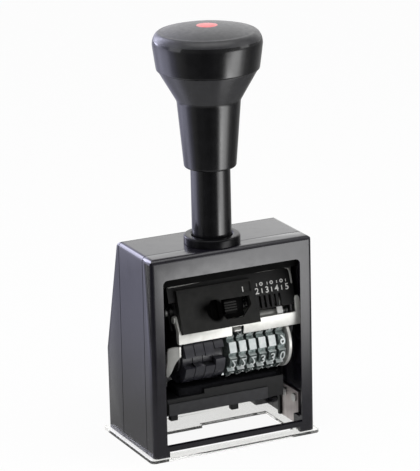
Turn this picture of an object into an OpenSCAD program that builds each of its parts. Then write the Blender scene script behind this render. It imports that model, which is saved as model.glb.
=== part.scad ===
// Self-inking numbering machine: a hand plunger with a number-wheel carriage,
// standing in an open-fronted housing on a clear base plate.
// +Z is up, +X is to the right of someone who faces the open front, -Y is the front.
// The origin is at the bottom, in the middle of the box that holds the whole machine.

/* [Housing] */
// Width of the housing at its foot
housing_w = 76; // [72:1:90]
// Depth of the housing at its top
housing_top_depth = 33.3; // [32.5:0.1:36]
// Depth of the housing at its foot
housing_foot_depth = 48; // [46:0.5:56]
// Height above the base plate at which the rear face starts to slope
rear_knee_h = 31.2; // [28:0.2:36]
// How much narrower the top is than the foot, on each side
side_draft = 0.4; // [0:0.1:0.8]
// Thickness of the housing walls
wall = 2.3; // [1.8:0.1:2.8]
// Free height between the scale panel and the bridge above it
panel_headroom = 1.9; // [1.5:0.1:4]
// Radius of the outer edges
edge_r = 2.2; // [1:0.1:2.6]
// Depth of the front frame, back to its joint with the body
front_frame_depth = 8; // [7:0.5:10]
// Depth at which the rear cover starts
rear_cover_start = 31.8; // [31.2:0.1:32.4]
// Depth of the shadow groove along each housing joint
seam_depth = 0.35; // [0.2:0.05:0.6]
// Width of the shadow groove along each housing joint
seam_w = 0.4; // [0.2:0.1:0.8]

/* [Front opening] */
// Width of the front opening
opening_w = 64; // [62:0.5:66]
// Distance from the top of the housing down to the opening
opening_top_gap = 9.5; // [8:0.5:12]
// Radius of the opening's upper corners
opening_r = 2.2; // [1:0.1:4]
// Height of the bar across the foot of the opening
crossbar_h = 2.2; // [1.5:0.1:4]
// Gap under that bar
crossbar_gap = 2.4; // [1.5:0.1:4]
// Width of the foot at each end of the bar
foot_w = 7; // [5:0.5:10]

/* [Base plate] */
// Thickness of the base plate
base_t = 1.3; // [1:0.1:1.8]
// How far the base plate stands out at each side
base_side_rim = 2; // [1:0.1:4]
// How far the base plate stands out at front and rear
base_end_rim = 1.3; // [0.5:0.1:3]
// Width of the print window
window_w = 60; // [56:0.5:62]
// Depth at which the print window starts
window_front = 4.5; // [3:0.5:6]
// Depth at which the print window ends, on its left part
window_rear = 28.3; // [26:0.1:31]
// How much further back the window reaches on its right part
window_step = 2.7; // [0:0.1:4]
// Side position of that step
window_step_x = -2.3; // [-10:0.1:10]

/* [Handle] */
// Travel of the plunger from rest to the paper
travel = 29; // [27:0.5:30]
// Side position of the plunger
plunger_x = -2.8; // [-4:0.1:4]
// Depth of the plunger behind the front face
plunger_depth = 13; // [12.5:0.1:14]
// Diameter of the plunger shaft
shaft_d = 16.8; // [14:0.2:17]
// Wall of the hollow shaft
shaft_wall = 2.5; // [1.5:0.1:3]
// Diameter of the guide ring on the housing
ring_d = 24; // [22.5:0.1:25]
// Height of the guide ring above the housing
ring_h = 3.7; // [2:0.1:6]
// Diameter of the handle sleeve at its lower end
sleeve_low_d = 22; // [20.5:0.1:23]
// Diameter of the handle sleeve at its upper end
sleeve_top_d = 26.9; // [24:0.1:30]
// Length of the handle sleeve
sleeve_l = 28.6; // [24:0.2:34]
// Height of the cone between sleeve and palm cap
cone_h = 13; // [10:0.2:16]
// Diameter at the top of the cone
cone_top_d = 41.8; // [38:0.1:44]
// Greatest diameter of the palm cap
knob_d = 46; // [44.5:0.1:50]
// Height of the palm cap's side, up to its widest place
cap_side_h = 10.9; // [8:0.1:14]
// Height of the palm cap above its widest place
dome_h = 7.7; // [6:0.1:10]
// Diameter of the coloured disc in the palm cap
dot_d = 10.5; // [8:0.1:14]

/* [Number wheels] */
// Distance from the wheel axis to the type face
type_r = 11.7; // [11.2:0.1:12]
// Distance from one wheel to the next
wheel_pitch = 4.65; // [4.6:0.05:4.8]
// Side position of the first number wheel
first_wheel_x = 1.3; // [1.2:0.1:1.4]
// Width of a type block
type_w = 3.3; // [2.8:0.1:3.4]
// Length of a type block around the wheel
type_l = 4.6; // [4:0.1:4.8]
// Radius of the drum that carries the type blocks
drum_r = 9.8; // [9.4:0.1:10.2]
// Outer radius of the ratchet teeth
ratchet_r = 8.2; // [7.8:0.1:8.6]
// Diameter of the wheel axle
axle_d = 4; // [3:0.1:4.4]
// Depth of the wheel axle behind the front face
axle_depth = 13; // [12.6:0.1:13.4]

/* [Carriage] */
// Thickness of the carriage side plates
plate_t = 1; // [0.8:0.1:1.1]
// Height of the bridge that carries the side plates
bridge_h = 7.5; // [6:0.5:8]
// Slope of the front cover away from upright
cover_tilt = 18.4; // [16:0.2:20]
// Depth of the cover's lower edge behind the front face
cover_depth = 1; // [0.8:0.1:1.4]
// Length of the cover up its slope
cover_l = 18.8; // [17:0.2:19.4]
// Thickness of the front cover
cover_t = 1.7; // [1.4:0.1:1.9]
// Thickness of the scale panel
panel_t = 1.6; // [1.2:0.1:1.8]
// Height of the bright bar over the wheels
bar_h = 5.8; // [5:0.1:5.9]
// Thickness of the bright bar
bar_t = 0.8; // [0.6:0.1:0.9]
// Distance between the comb slots of the selector
slot_pitch = 2.33; // [2.2:0.01:2.4]
// Radius of the tie rods
rod_r = 1.5; // [1.2:0.1:1.6]

/* [Ink pad] */
// Swing of the ink pad, from under the wheels to the rear
pad_swing = 90; // [80:1:90]
// Distance from the wheel axis to the ink pad's face
pad_r = 12; // [11.9:0.05:12.3]
// Thickness of the ink pad
pad_t = 5; // [4:0.1:6]
// Distance from the wheel axis to the underside of the tray
tray_r = 23; // [22:0.1:23.4]
// Reach of the tray in front of the wheel axis
tray_front = 7.8; // [7:0.1:8]
// Reach of the tray behind the wheel axis
tray_rear = 8.5; // [8:0.1:9]

/* [Clearances] */
// Running gap of a shaft in its bore
run_gap = 0.05; // [0.03:0.01:0.08]
// Gap at the stops and beside moving parts
stop_gap = 0.3; // [0.2:0.05:0.4]

/* [Hidden] */
$fn = 72;
over = 1;                                   // extra length of a cutter past the face it cuts

// Heights
foot_z = base_t;
knee_z = foot_z + rear_knee_h;
axle_z = type_r + travel;
nut_h = 3.2;
nut_flat = 10.5;                            // half the nut's width across its flats
bushing_r = shaft_d / 2 + 1.4;
bore_r = shaft_d / 2 + run_gap;
cover_z = axle_z + 13.3;                    // lower edge of the front cover
panel_l = 20.9;                             // reach of the scale panel up the cover's slope
panel_top_z = cover_z + panel_l * cos(cover_tilt) - cover_t * sin(cover_tilt);
bridge_z = ceil(10 * (panel_top_z + panel_headroom)) / 10;
bridge_top_z = bridge_z + bridge_h;
bushing_low_z = bridge_top_z + stop_gap;
ceiling_z = bushing_low_z + nut_h + stop_gap;
top_z = ceiling_z + wall;
ring_top_z = top_z + ring_h;
opening_top_z = top_z - opening_top_gap;
crossbar_z = foot_z + crossbar_gap;

// Handle heights
sleeve_z = ring_top_z + travel + stop_gap;
cone_z = sleeve_z + sleeve_l;
cap_z = cone_z + cone_h;
rim_z = cap_z + cap_side_h;
knob_top_z = rim_z + dome_h;
web_z = cone_z + 0.6;                       // underside of the web that the knob screw clamps
web_t = 4;
plug_h = 6;

// Depths: the machine's box runs from the palm cap's front to the base plate's rear edge
front_y = -(min(plunger_depth - knob_d / 2, -base_end_rim) + housing_foot_depth + base_end_rim) / 2;
inner_x = housing_w / 2 - side_draft - wall;
base_w = housing_w + 2 * base_side_rim;
base_l = housing_foot_depth + 2 * base_end_rim;

// Wheel row
wheel_count = 6;
blank_count = 4;
wheel_w = wheel_pitch - 0.1;
wheel_left = wheel_w / 2 - 0.05;            // reach of a wheel to the left of its middle
last_wheel_x = first_wheel_x + (wheel_count - 1) * wheel_pitch;
ratchet_x = type_w - wheel_left + 0.15;     // start of a wheel's ratchet, from its middle
ratchet_w = 0.95;
finger_w = 0.85;
blank_w = wheel_pitch - 0.35;
hub_left_x = first_wheel_x - wheel_left - 0.15;
hub_w = 2;
last_blank_x = hub_left_x - hub_w - 0.3 - blank_w / 2;
flange_x = last_wheel_x + wheel_pitch - wheel_left - 0.1;
flange_w = 1.4;
flange_r = type_r + 0.2;
pawl_hub_x = flange_x + flange_w + 0.15;
pawl_arm_t = 1;
right_plate_x = pawl_hub_x + pawl_arm_t + 0.3;
left_plate_x = last_blank_x - (blank_count - 1) * wheel_pitch - blank_w / 2 - 0.3 - plate_t;
fang_x = left_plate_x - 0.2 - bar_t;
bar_right_x = inner_x - 1.3;
pad_arm_t = 1.1;
pad_right_x = right_plate_x + plate_t + 0.4;
pad_left_x = -inner_x + 4.9;
axle_left_x = pad_left_x - 1.1;
axle_right_x = pad_right_x + pad_arm_t + 1.1;

// Cover and panel, on a slope through the cover's lower edge
panel_front = cover_t;
panel_back = panel_front + panel_t;
panel_low = 5;
cover_left_x = left_plate_x - 0.1;
cover_right_x = 11.9;
cover_tab_x = 13.6;
panel_left_x = -26.5;
panel_right_x = 32;
slot_first_x = 15.5;
slot_count = 5;
slot_low = 5.4;
slot_top = 10.7;
selector_x = slot_first_x + (slot_count - 1) * slot_pitch;

// Bar over the wheels
bar_depth = 3.2;
bar_top_z = axle_z + 14.2;
bar_low_z = bar_top_z - bar_h;
bar_bend_z = bar_low_z + 2.5;
bar_wheel_gap = 0.15;
lip_in = axle_depth - sqrt(pow(flange_r + bar_wheel_gap, 2) - pow(bar_low_z - axle_z, 2))
    - bar_depth - bar_t;                    // how far the bar's lower lip leans back
bar_gap_x = 1;
bar_gap_w = 5.5;

// Parts that turn about the axle, as radius and angle from straight ahead
pawl_bar_r = 14.3;
pawl_bar_angle = 72;
detent_rod_r = 14.3;
detent_rod_angle = 130;
pawl_rod_r = 1.2;
finger_tip_r = ratchet_r + 0.25;

// Guides, anchors and springs
rail_start = 24;
rail_w = 7;
rail_slot_w = 3;
rail_t = 1.9;
rail_web = 0.6;
shoe_h = 12;
bridge_front = 3.4;
bridge_rear = 24;
spring_coil_r = 2.6;
spring_wire_r = 0.45;
spring_xs = [-14, 18];
anchor_depth = bridge_rear + spring_coil_r + spring_wire_r + 2.25;
anchor_z = ceiling_z - 3.9;
spring_depth = anchor_depth - 1.7;
spring_z = axle_z + 13.4;

// Cam plate on the left wall and its follower pin
cam_t = 1;
cam_pin_r = 1.2;
cam_pin_arm = 8.5;
cam_slot_gap = 0.35;
cam_steps = 12;

// ---- helpers: outlines are drawn as (depth, height), (side, height) or (side, depth) ----

module side_cut(x0, x1)
    translate([x0, front_y, 0]) rotate([90, 0, 90]) linear_extrude(x1 - x0) children();

module front_cut(d0, d1)
    translate([0, front_y + d1, 0]) rotate([90, 0, 0]) linear_extrude(d1 - d0) children();

module plan_cut(z0, z1)
    translate([0, front_y, z0]) linear_extrude(z1 - z0) children();

module block(x, d, z)
    translate([x[0], front_y + d[0], z[0]]) cube([x[1] - x[0], d[1] - d[0], z[1] - z[0]]);

// A rod along X through a point in the (depth, height) plane
module cross_rod(x0, x1, d, z, r)
    translate([x0, front_y + d, z]) rotate([0, 90, 0]) cylinder(h = x1 - x0, r = r);

// A rod along Z at the plunger's axis
module plunger_rod(z0, z1, r)
    translate([plunger_x, front_y + plunger_depth, z0]) cylinder(h = z1 - z0, r = r);

// Rectangle with all four corners rounded
module round_rect(x0, y0, x1, y1, r) {
    translate([x0 + r, y0]) square([x1 - x0 - 2 * r, y1 - y0]);
    translate([x0, y0 + r]) square([x1 - x0, y1 - y0 - 2 * r]);
    for (x = [x0 + r, x1 - r], y = [y0 + r, y1 - r]) translate([x, y]) circle(r);
}

// Straight strip with round ends between two points
module strip(a, b, r) {
    length = norm(b - a);
    angle = atan2(b[1] - a[1], b[0] - a[0]);
    translate(a) rotate(angle) translate([0, -r]) square([length, 2 * r]);
    translate(a) circle(r);
    translate(b) circle(r);
}

// Things drawn up the slope of the cover: x to the side, y into the machine, z up the slope
module on_slope()
    translate([0, front_y + cover_depth, cover_z]) rotate([-cover_tilt, 0, 0]) children();

// Plate on the slope, from an outline of (side, length up the slope)
module slope_plate(d0, d1)
    on_slope() translate([0, d1, 0]) rotate([90, 0, 0]) linear_extrude(d1 - d0) children();

// Points that turn about the wheel axle
function around(r, angle) = [axle_depth - r * cos(angle), axle_z + r * sin(angle)];

// Point behind the cover's face, at a length up its slope
function slope_point(back, up) = [cover_depth + back * cos(cover_tilt) + up * sin(cover_tilt),
    cover_z + up * cos(cover_tilt) - back * sin(cover_tilt)];

// Depth of a plane behind the cover at a given height
function slope_depth(z, back) = cover_depth + (z - cover_z) * tan(cover_tilt) + back / cos(cover_tilt);

// ---- housing ----

rear_angle = atan((housing_foot_depth - housing_top_depth) / (top_z - knee_z));

// Side outline of the housing, drawn in by an inset
module side_outline(inset) {
    r = edge_r;
    shift = inset / cos(rear_angle) - inset * tan(rear_angle);
    top = top_z - inset;
    rear = housing_top_depth - shift;
    corner = rear - r * (1 - sin(rear_angle)) / cos(rear_angle);
    foot = housing_foot_depth - inset;
    knee = knee_z - inset * tan(rear_angle / 2);
    polygon([[inset, foot_z], [inset, top - r], [inset + r, top], [corner, top],
        [corner + r * cos(rear_angle), top - r + r * sin(rear_angle)], [foot, knee], [foot, foot_z]]);
    translate([inset + r, top - r]) circle(r);
    translate([corner, top - r]) circle(r);
}

// Front outline of the housing, drawn in by an inset
module front_outline(inset) {
    r = edge_r;
    low = housing_w / 2 - inset;
    high = low - side_draft;
    top = top_z - inset;
    polygon([[-low, foot_z], [low, foot_z], [high, top - r], [high - r, top], [r - high, top],
        [-high, top - r]]);
    for (side = [-1, 1]) translate([side * (high - r), top - r]) circle(r);
}

// The housing's outer form, drawn in by an inset
module housing_form(inset) {
    reach = housing_w / 2;
    intersection() {
        side_cut(-reach, reach) side_outline(inset);
        front_cut(0, housing_foot_depth) front_outline(inset);
        plan_cut(foot_z, top_z)
            round_rect(-reach + inset, inset, reach - inset, housing_foot_depth - inset, edge_r);
    }
}

// The hollow inside the housing
module housing_hollow()
    intersection() {
        side_cut(-inner_x, inner_x) side_hollow();
        block([-inner_x, inner_x], [wall, housing_foot_depth - wall], [foot_z - over, ceiling_z]);
    }

module side_hollow() {
    shift = wall / cos(rear_angle);
    drop = foot_z - over;
    slope = tan(rear_angle);
    rear_top = housing_top_depth - shift + (top_z - ceiling_z) * slope;
    foot = housing_foot_depth - wall;
    knee = ceiling_z - (foot - rear_top) / slope;
    polygon([[wall, drop], [wall, ceiling_z], [rear_top, ceiling_z], [foot, knee], [foot, drop]]);
}

module housing_skin()
    difference() {
        housing_form(0);
        housing_hollow();
    }

// A stretch of the housing's skin between two depths
module skin_between(d0, d1)
    intersection() {
        housing_skin();
        block([-housing_w, housing_w], [d0, d1], [0, top_z + over]);
    }

// Shadow groove around the housing at a joint
module seam(depth)
    difference() {
        block([-housing_w, housing_w], [depth - seam_w / 2, depth + seam_w / 2], [0, top_z + over]);
        housing_form(seam_depth);
    }

boss_w = 3.2;
boss_h = 6;
boss_rear_d = [39.5, 45.5];
boss_rear_x = [29.5, inner_x];
screw_r = 1;
screw_head_r = 1.9;
base_screw_x = opening_w / 2 + 1.7;
base_screw_front = 5.2;
base_screw_rear_x = 32;
base_screw_rear = 42.4;
base_screw_places = [for (side = [-1, 1]) each [[side * base_screw_x, base_screw_front],
    [side * base_screw_rear_x, base_screw_rear]]];

module base_screw_holes(r, z0, z1)
    for (p = base_screw_places) translate([p[0], front_y + p[1], z0]) cylinder(h = z1 - z0, r = r);

module base_plate()
    color([0.85, 0.86, 0.84]) difference() {
        plan_cut(0, base_t)
            round_rect(-base_w / 2, -base_end_rim, base_w / 2, housing_foot_depth + base_end_rim, edge_r);
        block([-window_w / 2, window_w / 2], [window_front, window_rear], [-over, base_t + over]);
        block([window_step_x, window_w / 2], [window_rear - over, window_rear + window_step],
            [-over, base_t + over]);
        base_screw_holes(screw_r + run_gap, -over, base_t + over);
        base_screw_holes(screw_head_r + run_gap, -over, base_t - 0.5);
    }

module base_screws()
    color("silver") {
        base_screw_holes(screw_r, 0.2, foot_z + boss_h - 1);
        base_screw_holes(screw_head_r, 0.1, base_t - 0.5 - run_gap);
    }

lip_t = 0.6;                                // thickness left at the opening's upright edges

module front_frame()
    color([0.16, 0.16, 0.17]) difference() {
        union() {
            skin_between(0, front_frame_depth);
            for (side = [-1, 1]) intersection() {
                block([min(side * opening_w / 2, side * (inner_x + over)),
                    max(side * opening_w / 2, side * (inner_x + over))],
                    [wall - 0.1, front_frame_depth], [foot_z, foot_z + boss_h]);
                housing_form(0);
            }
        }
        seam(front_frame_depth);
        front_cut(-over, wall + over) {
            half = opening_w / 2;
            low = crossbar_z + crossbar_h;
            round_rect(-half, low + opening_r, half, opening_top_z, opening_r);
            translate([-half, low]) square([opening_w, 4 * opening_r]);
        }
        for (side = [-1, 1]) plan_cut(foot_z + boss_h + 1, opening_top_z - opening_r)
            polygon([[side * (opening_w / 2 - 1), lip_t], [side * opening_w / 2, lip_t],
                [side * (opening_w / 2 + wall + 0.1 - lip_t), wall + 0.1],
                [side * (opening_w / 2 - 1), wall + 0.1]]);
        block([foot_w - housing_w / 2, housing_w / 2 - foot_w], [-over, wall + over],
            [foot_z - over, crossbar_z]);
        base_screw_holes(screw_r + run_gap, foot_z - over, foot_z + boss_h - 0.5);
        plunger_rod(ceiling_z - over, top_z + over, bushing_r + run_gap);
    }

anchor_boss_r = 2.2;
cover_post_w = 4.2;
cover_post_z = [24.5, 30.5];
cover_screw_x = inner_x - cover_post_w / 2;
cover_screw_z = 27.5;
post_rear = housing_foot_depth - wall - 0.05;

module cover_screw_holes(r, d0, d1)
    for (side = [-1, 1]) translate([side * cover_screw_x, front_y + d0, cover_screw_z])
        rotate([-90, 0, 0]) cylinder(h = d1 - d0, r = r);

module housing_body()
    color([0.16, 0.16, 0.17]) difference() {
        union() {
            skin_between(front_frame_depth, rear_cover_start);
            for (side = [-1, 1]) {
                inner = side * (inner_x - cover_post_w);
                outer = side * (inner_x - 0.05);
                block([min(inner, outer), max(inner, outer)], [rear_cover_start - 4, post_rear],
                    cover_post_z);
                wall_side = side * (inner_x + 0.2);
                block([min(wall_side, inner), max(wall_side, inner)],
                    [rear_cover_start - 4, rear_cover_start], cover_post_z);
                cross_rod(min(side * (inner_x - 2.5), side * (inner_x + 0.2)),
                    max(side * (inner_x - 2.5), side * (inner_x + 0.2)), anchor_depth, anchor_z,
                    anchor_boss_r);
            }
        }
        seam(front_frame_depth);
        seam(rear_cover_start);
        plunger_rod(ceiling_z - over, top_z + over, bushing_r + run_gap);
        cross_rod(-inner_x - 0.1, inner_x + 0.1, anchor_depth, anchor_z, rod_r + run_gap);
        cover_screw_holes(screw_r + run_gap, housing_foot_depth - 11, housing_foot_depth);
    }

module rear_cover()
    color([0.16, 0.16, 0.17]) difference() {
        union() {
            skin_between(rear_cover_start, housing_foot_depth + over);
            for (side = [-1, 1])
                block([min(side * boss_rear_x[0], side * (boss_rear_x[1] + 0.2)),
                    max(side * boss_rear_x[0], side * (boss_rear_x[1] + 0.2))],
                    [boss_rear_d[0], boss_rear_d[1] + 0.4], [foot_z, foot_z + boss_h]);
        }
        seam(rear_cover_start);
        base_screw_holes(screw_r + run_gap, foot_z - over, foot_z + boss_h - 0.5);
        cover_screw_holes(screw_r + run_gap, housing_foot_depth - wall - over,
            housing_foot_depth + over);
        cover_screw_holes(screw_head_r + run_gap, housing_foot_depth - 0.6, housing_foot_depth + over);
    }

module rear_cover_screws()
    color("silver") difference() {
        union() {
            cover_screw_holes(screw_r, housing_foot_depth - 10, housing_foot_depth - 0.3);
            cover_screw_holes(screw_head_r, housing_foot_depth - 0.6 + run_gap, housing_foot_depth + 0.5);
        }
        for (side = [-1, 1])
            block([side * cover_screw_x - 2, side * cover_screw_x + 2],
                [housing_foot_depth + 0.1, housing_foot_depth + over],
                [cover_screw_z - 0.25, cover_screw_z + 0.25]);
    }

module guide_bushing()
    color([0.1, 0.1, 0.1]) translate([plunger_x, front_y + plunger_depth, 0])
        rotate_extrude() polygon([[bore_r, bushing_low_z], [bushing_r, bushing_low_z],
            [bushing_r, top_z], [ring_d / 2, top_z], [ring_d / 2, ring_top_z - 0.5],
            [ring_d / 2 - 0.5, ring_top_z], [bore_r + 0.7, ring_top_z], [bore_r, ring_top_z - 0.7]]);

module bushing_nut()
    color([0.25, 0.25, 0.26]) difference() {
        translate([plunger_x, front_y + plunger_depth, ceiling_z - nut_h])
            cylinder(h = nut_h, r = nut_flat / cos(30), $fn = 6);
        plunger_rod(ceiling_z - nut_h - over, ceiling_z + over, bushing_r + run_gap);
    }

// Channel that a guide shoe of the carriage runs in
module guide_rail(side) {
    slot = rail_start + (rail_w - rail_slot_w) / 2;
    rear = rail_start + rail_w;
    top = ceiling_z - 8;
    base = cover_post_z[1] + 0.5;
    inner = side * (inner_x - rail_t);
    web = side * (inner_x - rail_web);
    wall_side = side * inner_x;
    color([0.07, 0.07, 0.07]) {
        side_cut(min(web, wall_side), max(web, wall_side)) polygon([[rail_start, foot_z],
            [rail_start, top], [rear, top], [rear, base], [slot + 1, base], [slot + 1, foot_z]]);
        side_cut(min(inner, wall_side), max(inner, wall_side)) {
            translate([rail_start, foot_z]) square([slot - rail_start, top - foot_z]);
            translate([slot + rail_slot_w, base]) square([rear - slot - rail_slot_w, top - base]);
        }
    }
}

module guide_rail_left() guide_rail(-1);
module guide_rail_right() guide_rail(1);

// Path of the follower pin in the housing, for a share s of the plunger's travel
function cam_point(s) = [axle_depth + cam_pin_arm * sin(pad_swing * s),
    axle_z - travel * s - cam_pin_arm * cos(pad_swing * s)];

module cam_slot()
    for (i = [0 : cam_steps - 1])
        strip(cam_point(i / cam_steps), cam_point((i + 1) / cam_steps), cam_pin_r + cam_slot_gap);

cam_plate_front = 4;
cam_plate_top_z = axle_z - 4.7;
cam_plate_low_z = foot_z + 5;
cam_screw_places = [[cam_plate_front + 2.5, 30], [cam_plate_front + 2.5, 12], [20.5, 31]];
wear_screw_places = [[11.5, 13], [20.5, 13]];

module cam_plate()
    color([0.3, 0.3, 0.32]) side_cut(-inner_x, cam_t - inner_x) difference() {
        polygon([[cam_plate_front, cam_plate_low_z + 3.2], [cam_plate_front, cam_plate_top_z],
            [axle_depth + 6, cam_plate_top_z], [rail_start - 0.2, cam_plate_top_z - 5],
            [rail_start - 0.2, cam_plate_low_z], [axle_depth + 1, cam_plate_low_z]]);
        cam_slot();
        for (p = cam_screw_places) translate(p) circle(screw_r + run_gap);
    }

wear_plate_h = 15.2;

module wear_plate()
    color([0.62, 0.6, 0.6]) side_cut(inner_x - cam_t, inner_x) difference() {
        translate([front_frame_depth + 0.2, foot_z])
            square([rail_start - front_frame_depth - 0.4, wear_plate_h]);
        for (p = wear_screw_places) translate(p) circle(screw_r + run_gap);
    }

module wall_plate_screws() {
    head = 0.7;
    color("silver") {
        for (p = cam_screw_places) {
            cross_rod(-inner_x, cam_t - inner_x, p[0], p[1], screw_r);
            cross_rod(cam_t - inner_x, cam_t + head - inner_x, p[0], p[1], screw_head_r);
        }
        for (p = wear_screw_places) {
            cross_rod(inner_x - cam_t, inner_x, p[0], p[1], screw_r);
            cross_rod(inner_x - cam_t - head, inner_x - cam_t, p[0], p[1], screw_head_r);
        }
    }
}

module spring_anchor_bar()
    color("silver") cross_rod(-inner_x, inner_x, anchor_depth, anchor_z, rod_r);

// Close-wound extension spring, with a hook ring at each end
module return_spring(x) {
    hook_r = rod_r + 0.2 + spring_wire_r;
    lean = atan2(spring_depth - anchor_depth, anchor_z - spring_z);
    length = norm([spring_depth - anchor_depth, anchor_z - spring_z]);
    coil = length - 4 * hook_r + 2 * spring_wire_r;
    turns = floor(coil / (2 * spring_wire_r));
    pitch = coil / turns;
    color([0.7, 0.7, 0.72]) translate([x, front_y + anchor_depth, anchor_z]) rotate([180 + lean, 0, 0]) {
        for (z = [0, length]) translate([0, 0, z]) rotate([0, 90, 0]) rotate_extrude($fn = 32)
            translate([hook_r, 0]) circle(spring_wire_r, $fn = 16);
        translate([0, 0, 2 * hook_r - spring_wire_r]) rotate_extrude($fn = 32) {
            for (i = [0 : turns - 1]) translate([spring_coil_r, (i + 0.5) * pitch])
                circle(spring_wire_r, $fn = 16);
            translate([spring_coil_r - spring_wire_r, 0.2]) square([spring_wire_r, coil - 0.4]);
            for (z = [0, coil - spring_wire_r]) translate([0, z])
                square([spring_coil_r, spring_wire_r]);
        }
        for (z = [hook_r, length - 2 * hook_r]) translate([0, 0, z])
            cylinder(h = hook_r, r = spring_wire_r, $fn = 16);
    }
}

module return_spring_left() return_spring(spring_xs[0]);
module return_spring_right() return_spring(spring_xs[1]);

// ---- plunger ----

shaft_top_z = web_z - run_gap;

module plunger_shaft()
    color([0.08, 0.08, 0.08]) difference() {
        plunger_rod(bridge_z, shaft_top_z, shaft_d / 2);
        plunger_rod(bridge_z - over, shaft_top_z - plug_h, shaft_d / 2 - shaft_wall);
        plunger_rod(shaft_top_z - plug_h - over, shaft_top_z + over, screw_r * 2 + run_gap);
    }

cone_wall = 3;
spigot_l = 4;

module knob_sleeve()
    color([0.08, 0.08, 0.08]) translate([plunger_x, front_y + plunger_depth, 0]) rotate_extrude() {
        low = sleeve_low_d / 2;
        inner_top = cone_top_d / 2 - cone_wall;
        polygon([[bore_r, sleeve_z], [low - 1.6, sleeve_z], [low, sleeve_z + 1.2],
            [sleeve_top_d / 2, cone_z], [cone_top_d / 2, cap_z], [inner_top, cap_z],
            [inner_top, cap_z - spigot_l], [shaft_d / 2 - 1.5, web_z + web_t],
            [screw_r * 2 + run_gap, web_z + web_t], [screw_r * 2 + run_gap, web_z], [bore_r, web_z]]);
    }

cap_wall = 2.4;
disc_t = 1.6;
cap_edge_w = 3.4;                           // width of the cap's rounded shoulder
cap_drop = 2.4;                             // fall of the dome from its middle to that shoulder
cap_bulge = 0.15;
cap_steps = 10;

// Height of the dome's surface at a distance from its middle
dome_edge = knob_d / 2 - cap_edge_w;
function dome_z(r) = knob_top_z - cap_drop * pow(r / dome_edge, 2.4);

module knob_cap()
    color([0.13, 0.13, 0.14]) translate([plunger_x, front_y + plunger_depth, 0]) {
        rim = knob_d / 2;
        spigot_r = cone_top_d / 2 - cone_wall - run_gap;
        side_low = cone_top_d / 2 + 0.7;
        hollow_r = spigot_r - cap_wall;
        cap_top_in = knob_top_z - 8.2;
        rotate_extrude() difference() {
            polygon(concat(
                [for (i = [0 : cap_steps]) let (r = dome_edge * i / cap_steps) [r, dome_z(r)]],
                [for (i = [1 : 6]) [dome_edge + cap_edge_w * sin(15 * i),
                    rim_z + (dome_h - cap_drop) * cos(15 * i)]],
                [for (i = [1 : 5]) let (k = i / 6) [rim + (side_low - rim) * k + cap_bulge * 4 * k * (1 - k),
                    rim_z + (cap_z + 0.5 - rim_z) * k]],
                [[side_low, cap_z + 0.5], [side_low - 0.5, cap_z], [spigot_r, cap_z],
                    [spigot_r, cap_z - spigot_l + 0.3], [hollow_r, cap_z - spigot_l + 0.3],
                    [hollow_r, cap_z + 2], [rim - 5, cap_z + 5], [rim - 5, cap_top_in], [0, cap_top_in]]));
            translate([-over, knob_top_z - disc_t]) square([dot_d / 2 + run_gap + over, disc_t + over]);
        }
    }

module knob_disc()
    color([0.94, 0.42, 0.42]) translate([plunger_x, front_y + plunger_depth, knob_top_z - disc_t])
        rotate_extrude() polygon([[0, 0], [dot_d / 2, 0], [dot_d / 2, disc_t - 0.25],
            [dot_d / 2 - 0.3, disc_t], [dot_d / 4, disc_t + 0.25], [0, disc_t + 0.33]]);

module knob_screw()
    color("silver") difference() {
        union() {
            plunger_rod(shaft_top_z - plug_h - 2, web_z + web_t, screw_r * 2);
            plunger_rod(web_z + web_t, web_z + web_t + 2.6, 4);
        }
        translate([plunger_x, front_y + plunger_depth, web_z + web_t + 1])
            cylinder(h = 3, r = 2, $fn = 6);
    }

// ---- carriage ----

ear_w = 5;
ear_x = inner_x - rail_t - 0.4;
ear_h = 5;
shoe_gap = 0.1;
bridge_hole_r = bore_r;

module carriage_bridge()
    color([0.07, 0.07, 0.07]) difference() {
        union() {
            plan_cut(bridge_z, bridge_top_z)
                round_rect(-ear_x, bridge_front, ear_x, bridge_rear, 1.5);
            for (side = [-1, 1]) {
                block([min(side * (ear_x - ear_w), side * ear_x), max(side * (ear_x - ear_w), side * ear_x)],
                    [bridge_rear - 4, rail_start + rail_w / 2 + rail_slot_w / 2 - shoe_gap],
                    [bridge_z, bridge_z + ear_h]);
                shoe_in = side * (ear_x - 1.5);
                shoe_out = side * (inner_x - rail_web - stop_gap);
                block([min(shoe_in, shoe_out), max(shoe_in, shoe_out)],
                    [rail_start + (rail_w - rail_slot_w) / 2 + shoe_gap,
                        rail_start + (rail_w + rail_slot_w) / 2 - shoe_gap],
                    [bridge_z + ear_h - shoe_h, bridge_z + ear_h]);
            }
        }
        plunger_rod(bridge_z - over, bridge_top_z + over, bridge_hole_r);
        for (p = bar_screw_places) cross_rod(ear_x - 4, ear_x + over, p[0], p[1], screw_r + run_gap);
        for (p = panel_screw_places) translate([p[0], front_y + p[1], bridge_z - over])
            cylinder(h = over + 4, r = screw_r + run_gap);
    }

tie_rod_places = [around(detent_rod_r, detent_rod_angle), [20.5, bridge_z - 5]];
light_hole = [axle_depth + 8, axle_z + 21, 2.6];    // lightening hole: depth, height, radius
keeper_pip = [axle_depth + 1.5, axle_z - 4.6, 0.8]; // locating pip: depth, height, radius
selector_rod_r = 1;
selector_rod_place = slope_point(panel_back + 4, 13.5);
spring_rod_place = [spring_depth, spring_z];
plate_boss_r = 6.5;

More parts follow.
